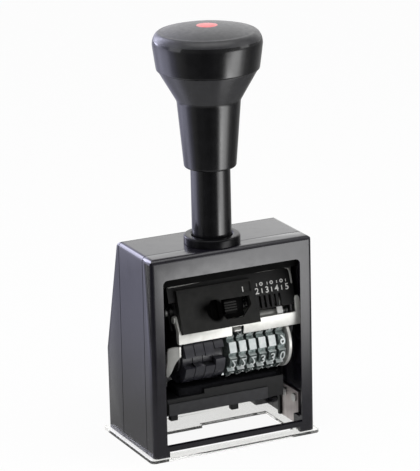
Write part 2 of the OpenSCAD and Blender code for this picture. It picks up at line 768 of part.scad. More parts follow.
// Side plate of the carriage
module carriage_side(x)
    color([0.32, 0.32, 0.34]) difference() {
        end = x + plate_t;
        edge = panel_back;
        low_z = bar_top_z - 1;
        union() {
            side_cut(x, end) polygon([[slope_depth(bridge_z, edge), bridge_z], [bridge_rear, bridge_z],
                [spring_depth + 2.4, spring_z + 3], [spring_depth + 2.4, spring_z - 2.4],
                [spring_depth - 4, spring_z - 4.4], [axle_depth + 5, axle_z - 3.6],
                [axle_depth - 5, axle_z - 3.6], [slope_depth(low_z, edge) + 0.4, low_z - 6],
                [slope_depth(low_z, edge), low_z]]);
            cross_rod(x, end, axle_depth, axle_z, plate_boss_r);
        }
        cross_rod(x - over, end + over, axle_depth, axle_z, axle_d / 2 + run_gap);
        for (p = concat(tie_rod_places, [spring_rod_place]))
            cross_rod(x - over, end + over, p[0], p[1], rod_r + run_gap);
        cross_rod(x - over, end + over, selector_rod_place[0], selector_rod_place[1],
            selector_rod_r + run_gap);
        if (x < 0) cross_rod(x - over, end + over, trip_pivot[0], trip_pivot[1], screw_r + run_gap);
        if (x < 0) {
            cross_rod(x - over, end + over, keeper_pip[0], keeper_pip[1], keeper_pip[2] + run_gap);
            cross_rod(x - over, end + over, bar_screw_left[0], bar_screw_left[1], screw_r + run_gap);
        }
        cross_rod(x - over, end + over, light_hole[0], light_hole[1], light_hole[2]);
    }

module carriage_plate_left() carriage_side(left_plate_x);
module carriage_plate_right() carriage_side(right_plate_x);

rod_left_x = left_plate_x;
rod_right_x = right_plate_x + plate_t;

module tie_rods()
    color("silver") for (p = tie_rod_places) cross_rod(rod_left_x, rod_right_x, p[0], p[1], rod_r);

module selector_rod()
    color("silver") cross_rod(rod_left_x, rod_right_x, selector_rod_place[0], selector_rod_place[1],
        selector_rod_r);

module spring_rod()
    color("silver") cross_rod(rod_left_x, rod_right_x, spring_rod_place[0], spring_rod_place[1], rod_r);

clip_t = 0.5;
clip_groove = 0.4;

module wheel_axle()
    color([0.8, 0.8, 0.82]) difference() {
        cross_rod(axle_left_x, axle_right_x, axle_depth, axle_z, axle_d / 2);
        clip_ring(axle_left_x + 0.4, axle_d / 2 - clip_groove, axle_d / 2 + over, run_gap);
        clip_ring(axle_right_x - 0.4 - clip_t, axle_d / 2 - clip_groove, axle_d / 2 + over, run_gap);
    }

// A ring around the axle
module clip_ring(x, r_in, r_out, gap)
    translate([x - gap, front_y + axle_depth, axle_z]) rotate([0, 90, 0]) difference() {
        cylinder(h = clip_t + 2 * gap, r = r_out);
        translate([0, 0, -over]) cylinder(h = clip_t + 2 * over, r = r_in);
    }

module axle_clips()
    color([0.5, 0.5, 0.52]) difference() {
        for (x = [axle_left_x + 0.4, axle_right_x - 0.4 - clip_t])
            clip_ring(x, axle_d / 2 - clip_groove + run_gap, axle_d / 2 + 1.4, 0);
        block([axle_left_x - over, axle_right_x + over], [axle_depth - 0.9, axle_depth + 0.9],
            [axle_z - axle_d, axle_z]);
    }

module axle_tube(x0, x1, r)
    difference() {
        cross_rod(x0, x1, axle_depth, axle_z, r);
        cross_rod(x0 - over, x1 + over, axle_depth, axle_z, axle_d / 2 + run_gap);
    }

module axle_spacer()
    color([0.12, 0.12, 0.12]) axle_tube(pad_left_x + pad_arm_t + 0.1, fang_x - 0.1, axle_d / 2 + 1);

module end_flange()
    color([0.85, 0.86, 0.87]) difference() {
        axle_tube(flange_x, flange_x + flange_w, flange_r);
        difference() {
            cross_rod(flange_x + flange_w - 0.5, flange_x + flange_w + over, axle_depth, axle_z,
                flange_r - 1);
            cross_rod(flange_x, flange_x + flange_w + over, axle_depth, axle_z, axle_d / 2 + 1.6);
        }
    }

// ---- cover and scale panel ----

grip_x = [-3.3, 10.4];
grip_z = [3.3, 11.9];
latch_x = [-2.2, 3];
latch_z = [5.6, 11.2];
latch_travel = 4;

// Outline of the finger recess: a six-sided hole with a low left side
module grip_outline()
    polygon([[grip_x[0], grip_z[1]], [grip_x[1] - 0.4, grip_z[1]], [grip_x[1], grip_z[1] - 3.9],
        [grip_x[1] - 4.4, grip_z[0]], [grip_x[0] + 1.5, grip_z[0]], [grip_x[0], grip_z[0] + 2]]);

scoop_x = -9.6;
scoop_z = 8.4;
scoop_r = 7;
label_x = [6, 11.2];
label_z = [13.6, 17.6];

module front_cover()
    color([0.19, 0.19, 0.19]) difference() {
        slope_plate(0, cover_t) difference() {
            polygon([[cover_left_x, 0], [cover_tab_x, 0], [cover_tab_x, panel_low + 0.6],
                [cover_right_x, panel_low + 0.6], [cover_right_x, cover_l], [cover_left_x, cover_l]]);
            grip_outline();
            translate([-8.2, 4.2]) square([3, 8.2]);
        }
        on_slope() translate([scoop_x, 1.35 - scoop_r, scoop_z]) sphere(r = scoop_r);
        slope_plate(-over, 0.5) translate([label_x[0], label_z[0]])
            square([label_x[1] - label_x[0], label_z[1] - label_z[0]]);
    }

latch_window = [[-10, 4.5], [20, 8.4]];     // cut in the panel behind the finger recess
panel_screw_places = [[-18, 18.6], [22, 18.6]];

module scale_panel()
    color([0.17, 0.17, 0.17]) {
        slope_plate(panel_front, panel_back) difference() {
            union() {
                translate([cover_left_x, panel_low])
                    square([panel_right_x - cover_left_x, panel_l - panel_low - 4]);
                round_rect(panel_left_x, 14, panel_right_x, panel_l, 3.4);
                translate([panel_left_x, 14]) square([8, panel_l - 14]);
                translate([panel_left_x, 14]) square([panel_right_x - panel_left_x, 3.4]);
            }
            translate(latch_window[0]) square(latch_window[1]);
            for (i = [0 : slot_count - 1])
                translate([slot_first_x + i * slot_pitch - 0.55, slot_low])
                    square([1.1, slot_top - slot_low]);
        }
        panel_flange();
    }

// Angle on the panel's back that is screwed to the bridge
module panel_flange() {
    shelf_z = bridge_z - 1.8;
    low = shelf_z - 6;
    difference() {
        side_cut(left_plate_x + plate_t + 0.3, right_plate_x - 0.3) polygon([
            [slope_depth(low, panel_back - 0.4), low], [slope_depth(shelf_z, panel_back - 1), shelf_z],
            [slope_depth(shelf_z, panel_back - 1), bridge_z], [21, bridge_z], [21, shelf_z],
            [slope_depth(shelf_z, panel_back + 1.2), shelf_z], [slope_depth(low, panel_back + 1.2), low]]);
        plunger_rod(shelf_z - over, bridge_z + over, shaft_d / 2 + 0.6);
        for (p = panel_screw_places) translate([p[0], front_y + p[1], shelf_z - over])
            cylinder(h = 4, r = screw_r + run_gap);
    }
}

module panel_screws()
    color("silver") for (p = panel_screw_places) translate([p[0], front_y + p[1], bridge_z - 1.8]) {
        cylinder(h = 5, r = screw_r);
        translate([0, 0, -0.9]) cylinder(h = 0.9, r = screw_head_r);
    }

// ---- bright bar over the wheels ----

bar_screw_places = [[16.5, bridge_z + 2.6]];
bar_screw_left = [cover_depth + 6.7, cover_z + 4.9];
bar_middle_x = bar_gap_x + bar_gap_w / 2;
bar_tab_w = 2.7;
bar_tab_h = 7.2;                            // how far the tab at the bar's right end stands up

// Bar in front of the wheels: its left half is flat, its right half has a lower lip; a horn on the
// left and an arm on the right hold it
module front_bar()
    color([0.9, 0.9, 0.88]) {
        difference() {
            union() {
                side_cut(fang_x, bar_middle_x) polygon([[bar_depth, bar_low_z], [bar_depth, bar_top_z],
                    [bar_depth + bar_t, bar_top_z], [bar_depth + bar_t, bar_low_z]]);
                side_cut(bar_middle_x, bar_right_x) polygon([[bar_depth, bar_bend_z],
                    [bar_depth, bar_top_z], [bar_depth + bar_t, bar_top_z],
                    [bar_depth + bar_t, bar_bend_z], [bar_depth + bar_t + lip_in, bar_low_z],
                    [bar_depth + lip_in, bar_low_z]]);
            }
            block([bar_gap_x, bar_gap_x + bar_gap_w], [0, axle_depth], [bar_low_z - over, bar_top_z - 2]);
        }
        front_cut(bar_depth, bar_depth + bar_t) polygon([[bar_right_x - bar_tab_w, bar_top_z - 1],
            [bar_right_x, bar_top_z - 1], [bar_right_x, bar_top_z], [bar_right_x - 1, bar_top_z + 6.3],
            [bar_right_x - 1.7, bar_top_z + bar_tab_h], [bar_right_x - bar_tab_w, bar_top_z + bar_tab_h],
            [bar_right_x - bar_tab_w - 0.4, bar_top_z + 6]]);
        side_cut(bar_right_x - bar_t, bar_right_x) difference() {
            polygon([[bar_depth, bar_bend_z], [bar_depth, bar_top_z], [bar_depth + 3, bar_top_z + 3.6],
                [axle_depth - 0.5, bar_top_z + 3.6], [axle_depth - 0.5, bridge_top_z - 1],
                [20, bridge_top_z - 1], [20, bar_top_z + 1], [16, bar_top_z - 3.2],
                [bar_depth + 4.6, bar_low_z + 1.4]]);
            for (p = bar_screw_places) translate(p) circle(screw_r + run_gap);
        }
        side_cut(fang_x, fang_x + bar_t) difference() {
            union() {
                polygon([[bar_depth, bar_low_z], [bar_depth, bar_top_z], [bar_depth + 0.5, bar_top_z + 0.3],
                    [bar_screw_left[0] - 1.6, bar_screw_left[1] + 0.8],
                    [bar_screw_left[0] + 1.4, bar_screw_left[1] - 0.8], [bar_depth + 3, bar_top_z],
                    [bar_depth + 2.2, bar_low_z]]);
                translate(bar_screw_left) circle(1.8);
            }
            translate(bar_screw_left) circle(screw_r + run_gap);
        }
    }

module bar_screws()
    color("silver") {
        for (p = bar_screw_places) {
            cross_rod(ear_x - 3.5, bar_right_x, p[0], p[1], screw_r);
            cross_rod(bar_right_x, bar_right_x + 0.7, p[0], p[1], screw_head_r);
        }
        cross_rod(fang_x, left_plate_x + plate_t, bar_screw_left[0], bar_screw_left[1], screw_r);
        cross_rod(fang_x - 0.7, fang_x, bar_screw_left[0], bar_screw_left[1], screw_head_r - 0.4);
    }

keeper_right_x = fang_x + bar_t;
keeper_left_x = pad_left_x + pad_arm_t + 0.4;
keeper_front = bar_depth + 0.1;
keeper_skew = 0.6;                          // how far the blade runs back per unit of its width

// Plate on the axle beside the left side plate, with a blade that is turned outwards
module axle_keeper() {
    back = keeper_front + keeper_skew * (keeper_right_x - keeper_left_x);
    color([0.9, 0.9, 0.88]) difference() {
        union() {
            intersection() {
                plan_cut(bar_low_z - 16, bar_low_z) polygon([[keeper_right_x, keeper_front],
                    [keeper_left_x, back], [keeper_left_x, back + 0.9],
                    [keeper_right_x, keeper_front + 0.9]]);
                front_cut(0, axle_depth) polygon([[keeper_right_x, axle_z + 7.4], [-25.7, axle_z + 7.1],
                    [-27.7, axle_z + 6.3], [-28, axle_z + 5], [-28.1, axle_z + 0.8],
                    [-28.6, axle_z - 2.9], [-28.6, axle_z - 5.9], [-28, axle_z - 6.3],
                    [-26.7, axle_z - 4], [-25.7, axle_z - 1.1], [-24.8, axle_z + 0.8],
                    [-23.7, axle_z + 2.4], [keeper_right_x, axle_z + 2.9]]);
            }
            side_cut(fang_x, keeper_right_x) {
                polygon([[keeper_front, axle_z + 2.9], [keeper_front, axle_z + 7.4],
                    [keeper_front + 1.5, axle_z + 7.2], [axle_depth, axle_z + 3], [axle_depth, axle_z - 3],
                    [keeper_front + 3, axle_z + 2]]);
                polygon([[axle_depth - 3, axle_z], [axle_depth + 3, axle_z],
                    [keeper_pip[0] + 1.6, keeper_pip[1] - 1], [keeper_pip[0] - 1.6, keeper_pip[1] - 1]]);
            }
            cross_rod(fang_x, keeper_right_x, axle_depth, axle_z, 3.4);
            cross_rod(fang_x, left_plate_x + plate_t, keeper_pip[0], keeper_pip[1], keeper_pip[2]);
        }
        cross_rod(fang_x - over, keeper_right_x + over, axle_depth, axle_z, axle_d / 2 + run_gap);
    }
}

// ---- wheels ----

// Outline of a drum with ten raised blocks, turned by an angle; the first block faces down
function drum_outline(r, length, turn) = let (half = length / 2, foot = sqrt(drum_r * drum_r - half * half))
    [for (i = [0 : 9]) let (a = 36 * i + turn) each [
        for (q = [[-half, foot], [-half, r], [half, r], [half, foot],
            [drum_r * sin(18), drum_r * cos(18)]])
        [axle_depth + q[0] * cos(a) + q[1] * sin(a), axle_z + q[0] * sin(a) - q[1] * cos(a)]]];

// Ratchet outline: ten saw teeth
function ratchet_points() = [for (i = [0 : 9]) each [[ratchet_r * cos(36 * i), ratchet_r * sin(36 * i)],
    [(ratchet_r - 1) * cos(36 * i + 3), (ratchet_r - 1) * sin(36 * i + 3)],
    [(ratchet_r - 0.45) * cos(36 * i + 20), (ratchet_r - 0.45) * sin(36 * i + 20)]]];

module number_wheel(i) {
    x = first_wheel_x + (i - 1) * wheel_pitch;
    left = x - wheel_left;
    color([0.75, 0.77, 0.76]) difference() {
        union() {
            side_cut(left, left + type_w) polygon(drum_outline(type_r, type_l, 0));
            cross_rod(left, left + wheel_w - 0.05, axle_depth, axle_z, ratchet_r - 1.6);
            translate([x + ratchet_x, front_y + axle_depth, axle_z]) rotate([90, 0, 90])
                linear_extrude(ratchet_w) polygon(ratchet_points());
        }
        cross_rod(left - over, left + wheel_pitch + over, axle_depth, axle_z, axle_d / 2 + run_gap);
    }
}

module number_wheel_1() number_wheel(1);
module number_wheel_2() number_wheel(2);
module number_wheel_3() number_wheel(3);
module number_wheel_4() number_wheel(4);
module number_wheel_5() number_wheel(5);
module number_wheel_6() number_wheel(6);

blank_turns = [18.8, 16, 18.8, 6.2];
blank_r = type_r - 0.2;
blank_floor_r = type_r - 2.9;
lug_half = 24;                              // half the angle of a lug

// Outline of a drum with five wide lugs, turned by an angle
function lug_outline(turn) = [for (i = [0 : 4], q = [[-lug_half, blank_floor_r], [-lug_half, blank_r],
    [-lug_half / 3, blank_r], [lug_half / 3, blank_r], [lug_half, blank_r], [lug_half, blank_floor_r]])
    let (a = 72 * i + turn + q[0]) [axle_depth + q[1] * sin(a), axle_z - q[1] * cos(a)]];

// Blank wheel i, counted from the left
module blank_wheel(i) {
    x = last_blank_x - (blank_count - i) * wheel_pitch - blank_w / 2;
    color([0.22, 0.22, 0.25]) difference() {
        side_cut(x, x + blank_w) polygon(lug_outline(blank_turns[i - 1]));
        cross_rod(x - over, x + blank_w + over, axle_depth, axle_z, axle_d / 2 + run_gap);
    }
}

module blank_wheel_1() blank_wheel(1);
module blank_wheel_2() blank_wheel(2);
module blank_wheel_3() blank_wheel(3);
module blank_wheel_4() blank_wheel(4);

// One spring finger per number wheel, in the plane of its ratchet
module fingers(from, to, half) {
    for (i = [0 : wheel_count - 1]) {
        x = first_wheel_x + i * wheel_pitch + ratchet_x + (ratchet_w - finger_w) / 2;
        side_cut(x, x + finger_w) strip(from, to, half);
    }
}

module detent_springs()
    color([0.7, 0.7, 0.7]) difference() {
        union() {
            fingers(around(detent_rod_r - 1, detent_rod_angle),
                around(finger_tip_r + 0.4, detent_rod_angle + 10), 0.4);
            cross_rod(first_wheel_x, last_wheel_x + wheel_pitch - wheel_left - 0.3,
                around(detent_rod_r, detent_rod_angle)[0], around(detent_rod_r, detent_rod_angle)[1],
                rod_r + 0.7);
        }
        cross_rod(first_wheel_x - over, last_wheel_x + 2 * wheel_pitch,
            around(detent_rod_r, detent_rod_angle)[0], around(detent_rod_r, detent_rod_angle)[1],
            rod_r + run_gap);
    }

// ---- pawls ----

module pawl_arm(x, width)
    side_cut(x, x + width) difference() {
        union() {
            translate([axle_depth, axle_z]) circle(4.4);
            strip([axle_depth, axle_z], around(pawl_bar_r, pawl_bar_angle), 2);
        }
        translate([axle_depth, axle_z]) circle(axle_d / 2 + run_gap);
        translate(around(pawl_bar_r, pawl_bar_angle)) circle(pawl_rod_r - run_gap);
    }

module pawl_frame()
    color([0.5, 0.5, 0.52]) {
        pawl_arm(hub_left_x - hub_w, hub_w);
        pawl_arm(pawl_hub_x, pawl_arm_t);
        cross_rod(hub_left_x - hub_w, pawl_hub_x + pawl_arm_t, around(pawl_bar_r, pawl_bar_angle)[0],
            around(pawl_bar_r, pawl_bar_angle)[1], pawl_rod_r);
    }

module pawl_fingers()
    color([0.8, 0.8, 0.8]) difference() {
        union() {
            fingers(around(pawl_bar_r - 1, pawl_bar_angle), around(finger_tip_r + 0.4, pawl_bar_angle - 11),
                0.4);
            cross_rod(first_wheel_x - 1, last_wheel_x + 2.2, around(pawl_bar_r, pawl_bar_angle)[0],
                around(pawl_bar_r, pawl_bar_angle)[1], pawl_rod_r + 0.6);
            side_cut(bar_gap_x + 1.2, bar_gap_x + bar_gap_w - 1.2)
                strip(around(pawl_bar_r, pawl_bar_angle), around(pawl_bar_r - 0.7, 49), 0.7);
        }
        cross_rod(first_wheel_x - 2, last_wheel_x + 4, around(pawl_bar_r, pawl_bar_angle)[0],
            around(pawl_bar_r, pawl_bar_angle)[1], pawl_rod_r + run_gap);
    }

// ---- trip lever on the left ----

trip_pivot = [12.5, cover_z + 7];
trip_tip = [9.2, cover_z + 0.5];
trip_t = 1;
trip_x = fang_x - 0.3 - trip_t;

module trip_lever()
    color([0.1, 0.1, 0.1]) side_cut(trip_x, trip_x + trip_t) difference() {
        union() {
            translate(trip_pivot) circle(2);
            strip(trip_pivot, trip_tip, 0.9);
        }
        translate(trip_pivot) circle(screw_r + run_gap);
    }

module trip_screw()
    color("silver") {
        cross_rod(trip_x, left_plate_x + plate_t, trip_pivot[0], trip_pivot[1], screw_r);
        cross_rod(trip_x - 1, trip_x - 0.05, trip_pivot[0], trip_pivot[1], screw_head_r - 0.2);
        difference() {
            cross_rod(trip_x + trip_t + 0.05, left_plate_x, trip_pivot[0], trip_pivot[1], screw_r + 0.6);
            cross_rod(trip_x, left_plate_x, trip_pivot[0], trip_pivot[1], screw_r);
        }
    }

// ---- selector and latch ----

selector_w = 2.6;
pointer_l = 5.4;

module selector_lever()
    color([0.93, 0.93, 0.92]) {
        slope_plate(panel_back + 0.1, panel_back + 0.9) translate([selector_x - selector_w / 2, 2])
            square([selector_w, pointer_l]);
        difference() {
            union() {
                cross_rod(selector_x - 2, selector_x + 2, selector_rod_place[0], selector_rod_place[1],
                    selector_rod_r + 1.1);
                side_cut(selector_x - 0.9, selector_x + 0.9)
                    strip(slope_point(panel_back + 1, 6), selector_rod_place, 0.8);
            }
            cross_rod(selector_x - 3, selector_x + 3, selector_rod_place[0], selector_rod_place[1],
                selector_rod_r + run_gap);
        }
    }

module latch_tab()
    color([0.23, 0.23, 0.23]) {
        slope_plate(-0.3, panel_back + 0.2) round_rect(latch_x[0], latch_z[0], latch_x[1], latch_z[1], 0.6);
        slope_plate(panel_back + 0.1, panel_back + 1.1)
            round_rect(latch_x[0] - 9, latch_z[0] - 2, latch_x[1] + 5, latch_z[1] + 2.6, 0.6);
    }

// ---- ink pad ----

arm_low_z = axle_z - tray_r;
tray_top_z = axle_z - pad_r - pad_t + 1.2;

// Arm of the ink pad; its foot reaches forward to a depth
module pad_arm(x, with_pin, foot_front)
    difference() {
        union() {
            cross_rod(x, x + pad_arm_t, axle_depth, axle_z, 4.4);
            side_cut(x, x + pad_arm_t) polygon([[axle_depth - 3, axle_z + 3], [axle_depth + 3, axle_z + 3],
                [axle_depth + tray_rear - 1, tray_top_z + 2], [axle_depth + tray_rear - 1, arm_low_z],
                [foot_front, arm_low_z], [foot_front, tray_top_z + 2]]);
        }
        cross_rod(x - over, x + pad_arm_t + over, axle_depth, axle_z, axle_d / 2 + run_gap);
        if (with_pin) cross_rod(x - over, x + pad_arm_t + over, axle_depth, axle_z - cam_pin_arm,
            cam_pin_r - run_gap);
    }

module pad_arm_left()
    color([0.1, 0.1, 0.1]) {
        pad_arm(pad_left_x, true, axle_depth + 1 - tray_front);
        cross_rod(stop_gap - inner_x, pad_left_x + pad_arm_t, axle_depth, axle_z - cam_pin_arm, cam_pin_r);
    }

module pad_arm_right()
    color([0.1, 0.1, 0.1]) pad_arm(pad_right_x, false, axle_depth + tray_rear - 1 - tray_web_t);

tray_web_t = 2.8;
tray_wall = 1.4;
tray_x = [pad_left_x + pad_arm_t, last_wheel_x + 1.35];
pad_x = [-23, tray_x[1] - tray_wall];
tray_step_x = -12;                          // where the tray's front wall steps up
tray_step_h = 2;

module pad_tray()
    color([0.09, 0.09, 0.09]) {
        difference() {
            block(tray_x, [axle_depth - tray_front, axle_depth + tray_rear], [arm_low_z, tray_top_z]);
            block([pad_x[0] - 0.1, pad_x[1] + 0.1],
                [axle_depth - tray_front + tray_wall, axle_depth + tray_rear - tray_wall],
                [axle_z - pad_r - pad_t - 0.05, tray_top_z + over]);
        }
        block([tray_x[1] - over, pad_right_x], [axle_depth + tray_rear - tray_web_t, axle_depth + tray_rear],
            [arm_low_z, tray_top_z]);
        block([tray_step_x, tray_x[1]], [axle_depth - tray_front, axle_depth - tray_front + tray_wall],
            [tray_top_z - over, tray_top_z + tray_step_h]);
        for (x = [tray_x[0] + 1.5, 0.8])
            block([x, x + 3.4], [axle_depth - tray_front, axle_depth - tray_front + 2.8],
                [arm_low_z - 2.6, arm_low_z]);
    }

strip_x = [tray_x[0] + 0.5, 18];
strip_h = 5.2;
strip_t = 0.7;

module pad_strip()
    color([0.25, 0.25, 0.27])
        block(strip_x, [axle_depth - tray_front - strip_t, axle_depth - tray_front],
            [arm_low_z, arm_low_z + strip_h]);

module ink_pad()
    color([0.06, 0.06, 0.07])
        block(pad_x, [axle_depth - tray_front + tray_wall + 0.1, axle_depth + tray_rear - tray_wall - 0.1],
            [axle_z - pad_r - pad_t, axle_z - pad_r]);

base_plate();
base_screws();
front_frame();
housing_body();
rear_cover();
rear_cover_screws();
guide_bushing();
bushing_nut();
guide_rail_left();
guide_rail_right();
cam_plate();
wear_plate();
wall_plate_screws();
spring_anchor_bar();
return_spring_left();
return_spring_right();
plunger_shaft();
knob_sleeve();
knob_cap();
knob_disc();
knob_screw();
carriage_bridge();
carriage_plate_left();
carriage_plate_right();
tie_rods();
selector_rod();
spring_rod();
wheel_axle();
axle_clips();
axle_spacer();
end_flange();
front_cover();
scale_panel();
panel_screws();
front_bar();
bar_screws();
axle_keeper();
detent_springs();
blank_wheel_1();
blank_wheel_2();
blank_wheel_3();
blank_wheel_4();
number_wheel_1();
number_wheel_2();
number_wheel_3();
number_wheel_4();
number_wheel_5();
number_wheel_6();
pawl_frame();
pawl_fingers();
trip_lever();
trip_screw();
selector_lever();
latch_tab();
pad_arm_left();
pad_arm_right();
pad_tray();
pad_strip();
ink_pad();
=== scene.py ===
from math import radians, cos, sin, tan, pi

import bmesh
import bpy
import numpy as np
from mathutils import Matrix, Vector


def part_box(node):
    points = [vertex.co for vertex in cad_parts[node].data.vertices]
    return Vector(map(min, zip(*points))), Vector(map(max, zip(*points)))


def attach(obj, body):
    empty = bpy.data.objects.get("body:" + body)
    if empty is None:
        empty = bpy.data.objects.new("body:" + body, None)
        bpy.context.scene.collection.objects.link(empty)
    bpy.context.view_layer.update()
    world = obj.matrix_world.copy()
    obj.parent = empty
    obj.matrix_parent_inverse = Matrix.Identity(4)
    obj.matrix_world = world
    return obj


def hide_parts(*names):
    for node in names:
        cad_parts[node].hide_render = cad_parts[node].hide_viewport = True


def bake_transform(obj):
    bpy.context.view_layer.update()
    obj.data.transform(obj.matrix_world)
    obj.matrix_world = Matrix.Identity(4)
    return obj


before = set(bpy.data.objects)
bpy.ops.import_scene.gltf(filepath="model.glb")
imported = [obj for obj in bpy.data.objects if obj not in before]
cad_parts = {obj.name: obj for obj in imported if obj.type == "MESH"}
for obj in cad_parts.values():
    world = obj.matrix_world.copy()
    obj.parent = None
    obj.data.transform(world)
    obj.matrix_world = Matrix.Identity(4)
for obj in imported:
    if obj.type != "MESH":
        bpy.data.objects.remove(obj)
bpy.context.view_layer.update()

# ---- Camera, floor and light ----
# The machine stands on a white sheet between three soft boxes: overhead, at its left and at its
# right front. A long lens looks at it from the front left and a little above.

lens_look = Vector((0.41362335, 0.86461238, -0.28523877))
lens_right = Vector((0.89885519, -0.43763502, -0.02312856))
lens_up = Vector((0.14482771, 0.24682184, 0.95817739))
lens_place = Vector((-0.50343, -1.051255, 0.43618))
camera_data = bpy.data.cameras.new("long_lens")
camera_data.lens = 219.38
camera_data.sensor_width = 36
camera_data.clip_end = 20
camera = bpy.data.objects.new("long_lens", camera_data)
bpy.context.scene.collection.objects.link(camera)
turn = Matrix((lens_right, lens_up, -lens_look)).transposed()
camera.matrix_world = Matrix.Translation(lens_place) @ turn.to_4x4()
bpy.context.scene.camera = camera
bpy.context.scene.view_settings.view_transform = "Standard"


def lamp(name, place, target, size, power, colour=(1, 1, 1)):
    """A rectangular soft box at a place, facing a target."""
    data = bpy.data.lights.new(name, "AREA")
    data.shape = "RECTANGLE"
    data.size, data.size_y = size
    data.energy = power
    data.color = colour
    thing = bpy.data.objects.new(name, data)
    bpy.context.scene.collection.objects.link(thing)
    thing.location = place
    thing.rotation_euler = (Vector(target) - Vector(place)).to_track_quat("-Z", "Y").to_euler()


lamp("overhead_box", (-0.05, -0.25, 0.75), (0, 0, 0.08), (0.8, 0.5), 2.2)
lamp("left_box", (-0.9, 0.1, 0.45), (0, 0, 0.08), (0.5, 0.7), 1.6, (0.95, 0.96, 1.0))
lamp("right_box", (0.8, -0.5, 0.5), (0, 0, 0.08), (0.4, 0.6), 1.4)

# How bright the studio is in each direction round the machine, in degrees from the camera's side
# to the right: a dark aisle in front, a bright strip box at the right front, a soft bluish one at
# the left. One row of levels for the floor near the machine, one further out, one for the room.
NEAR = ((-180, 0.6), (-150, 0.6), (-126, 0.72), (-116, 1.05), (-106, 1.9), (-96, 2.2), (-86, 1.4),
    (-76, 0.7), (-60, 0.35), (-40, 0.12), (0, 0.06), (22, 0.14), (30, 0.3), (36, 1.3), (40, 3.6), (44, 7.0),
    (50, 7.3), (57, 5.5), (66, 4.0), (77, 1.6), (86, 0.4), (104, 0.2), (140, 0.2), (180, 0.6))
FAR = ((-180, 0.6), (-143, 0.75), (-116, 1.9), (-96, 2.1), (-80, 0.85), (-65, 0.45), (-52, 0.28),
    (-39, 0.1), (0, 0.05), (21, 0.12), (33, 0.27), (44, 2.6), (56, 5.4), (67, 5.0), (79, 1.4), (90, 0.4),
    (105, 0.2), (160, 0.4), (180, 0.6))
ROOM = ((-180, 1.6), (-150, 1.6), (-141, 7.8), (-131, 7.8), (-121, 2.4), (-100, 1.2), (-80, 0.6),
    (-60, 0.3), (0, 0.12), (40, 0.3), (60, 0.6), (90, 0.4), (125, 0.4), (150, 1.6), (180, 1.6))
BRIGHTEST = 8           # a colour ramp holds 0 to 1, so levels are divided by this and multiplied again
BLUISH = (0.94, 0.94, 1.2)
TO_CAMERA, TO_RIGHT = (-0.4315, -0.9021, 0), (0.9021, -0.4315, 0)


def studio_light(tree, vector, levels):
    """Light of the studio towards the side on which a vector lies, read off a row of levels."""
    parts = []
    for axis in (TO_CAMERA, TO_RIGHT):
        dot = tree.nodes.new("ShaderNodeVectorMath")
        dot.operation = "DOT_PRODUCT"
        dot.inputs[1].default_value = axis
        tree.links.new(vector, dot.inputs[0])
        parts.append(dot.outputs["Value"])
    side = tree.nodes.new("ShaderNodeMath")
    side.operation = "ARCTAN2"
    tree.links.new(parts[1], side.inputs[0])
    tree.links.new(parts[0], side.inputs[1])
    share = tree.nodes.new("ShaderNodeMapRange")
    share.inputs["From Min"].default_value = -pi
    share.inputs["From Max"].default_value = pi
    tree.links.new(side.outputs[0], share.inputs["Value"])
    ramp = tree.nodes.new("ShaderNodeValToRGB")
    ramp.color_ramp.interpolation = "EASE"
    stops = ramp.color_ramp.elements
    for angle, level in levels:
        stop = stops[0] if angle == -180 else stops[-1] if angle == 180 else stops.new((angle + 180) / 360)
        tint = BLUISH if -165 < angle < -70 else (1, 1, 1)
        stop.color = (*(level / BRIGHTEST * part for part in tint), 1)
    tree.links.new(share.outputs[0], ramp.inputs["Fac"])
    times = tree.nodes.new("ShaderNodeVectorMath")
    times.operation = "SCALE"
    times.inputs["Scale"].default_value = BRIGHTEST
    tree.links.new(ramp.outputs["Color"], times.inputs[0])
    return times.outputs["Vector"]


def blended(tree, value, start, end, near, far):
    """Goes smoothly from near to far as the value goes from start to end; each is a level or a
    colour socket."""
    share = tree.nodes.new("ShaderNodeMapRange")
    share.interpolation_type = "SMOOTHSTEP"
    share.inputs["From Min"].default_value = start
    share.inputs["From Max"].default_value = end
    tree.links.new(value, share.inputs["Value"])
    mix = tree.nodes.new("ShaderNodeMix")
    mix.data_type = "RGBA"
    tree.links.new(share.outputs["Result"], mix.inputs[0])
    for socket, wanted in ((mix.inputs[6], near), (mix.inputs[7], far)):
        if hasattr(wanted, "is_output"):
            tree.links.new(wanted, socket)
        else:
            socket.default_value = (wanted, wanted, wanted, 1)
    return mix.outputs[2]


def ray_kind(tree, *kinds):
    """1 for a ray of one of the kinds, otherwise 0."""
    path = tree.nodes.new("ShaderNodeLightPath")
    found = path.outputs[kinds[0]]
    for kind in kinds[1:]:
        either = tree.nodes.new("ShaderNodeMath")
        either.operation = "MAXIMUM"
        tree.links.new(found, either.inputs[0])
        tree.links.new(path.outputs[kind], either.inputs[1])
        found = either.outputs[0]
    return found


world = bpy.data.worlds.new("white_studio")
bpy.context.scene.world = world
world.use_nodes = True
sky = world.node_tree
sky.nodes.clear()
sky_out = sky.nodes.new("ShaderNodeOutputWorld")
way = sky.nodes.new("ShaderNodeTexCoord").outputs["Generated"]
rise = sky.nodes.new("ShaderNodeSeparateXYZ")
sky.links.new(way, rise.inputs[0])
mirrored = blended(sky, rise.outputs["Z"], 0.5, 0.8, studio_light(sky, way, ROOM), 0.9)
level = blended(sky, ray_kind(sky, "Is Glossy Ray"), 0, 1, 0.55, mirrored)
level = blended(sky, ray_kind(sky, "Is Camera Ray", "Is Transmission Ray"), 0, 1, level, 1.0)
sky_light = sky.nodes.new("ShaderNodeBackground")
sky.links.new(level, sky_light.inputs["Color"])
sky.links.new(sky_light.outputs[0], sky_out.inputs["Surface"])


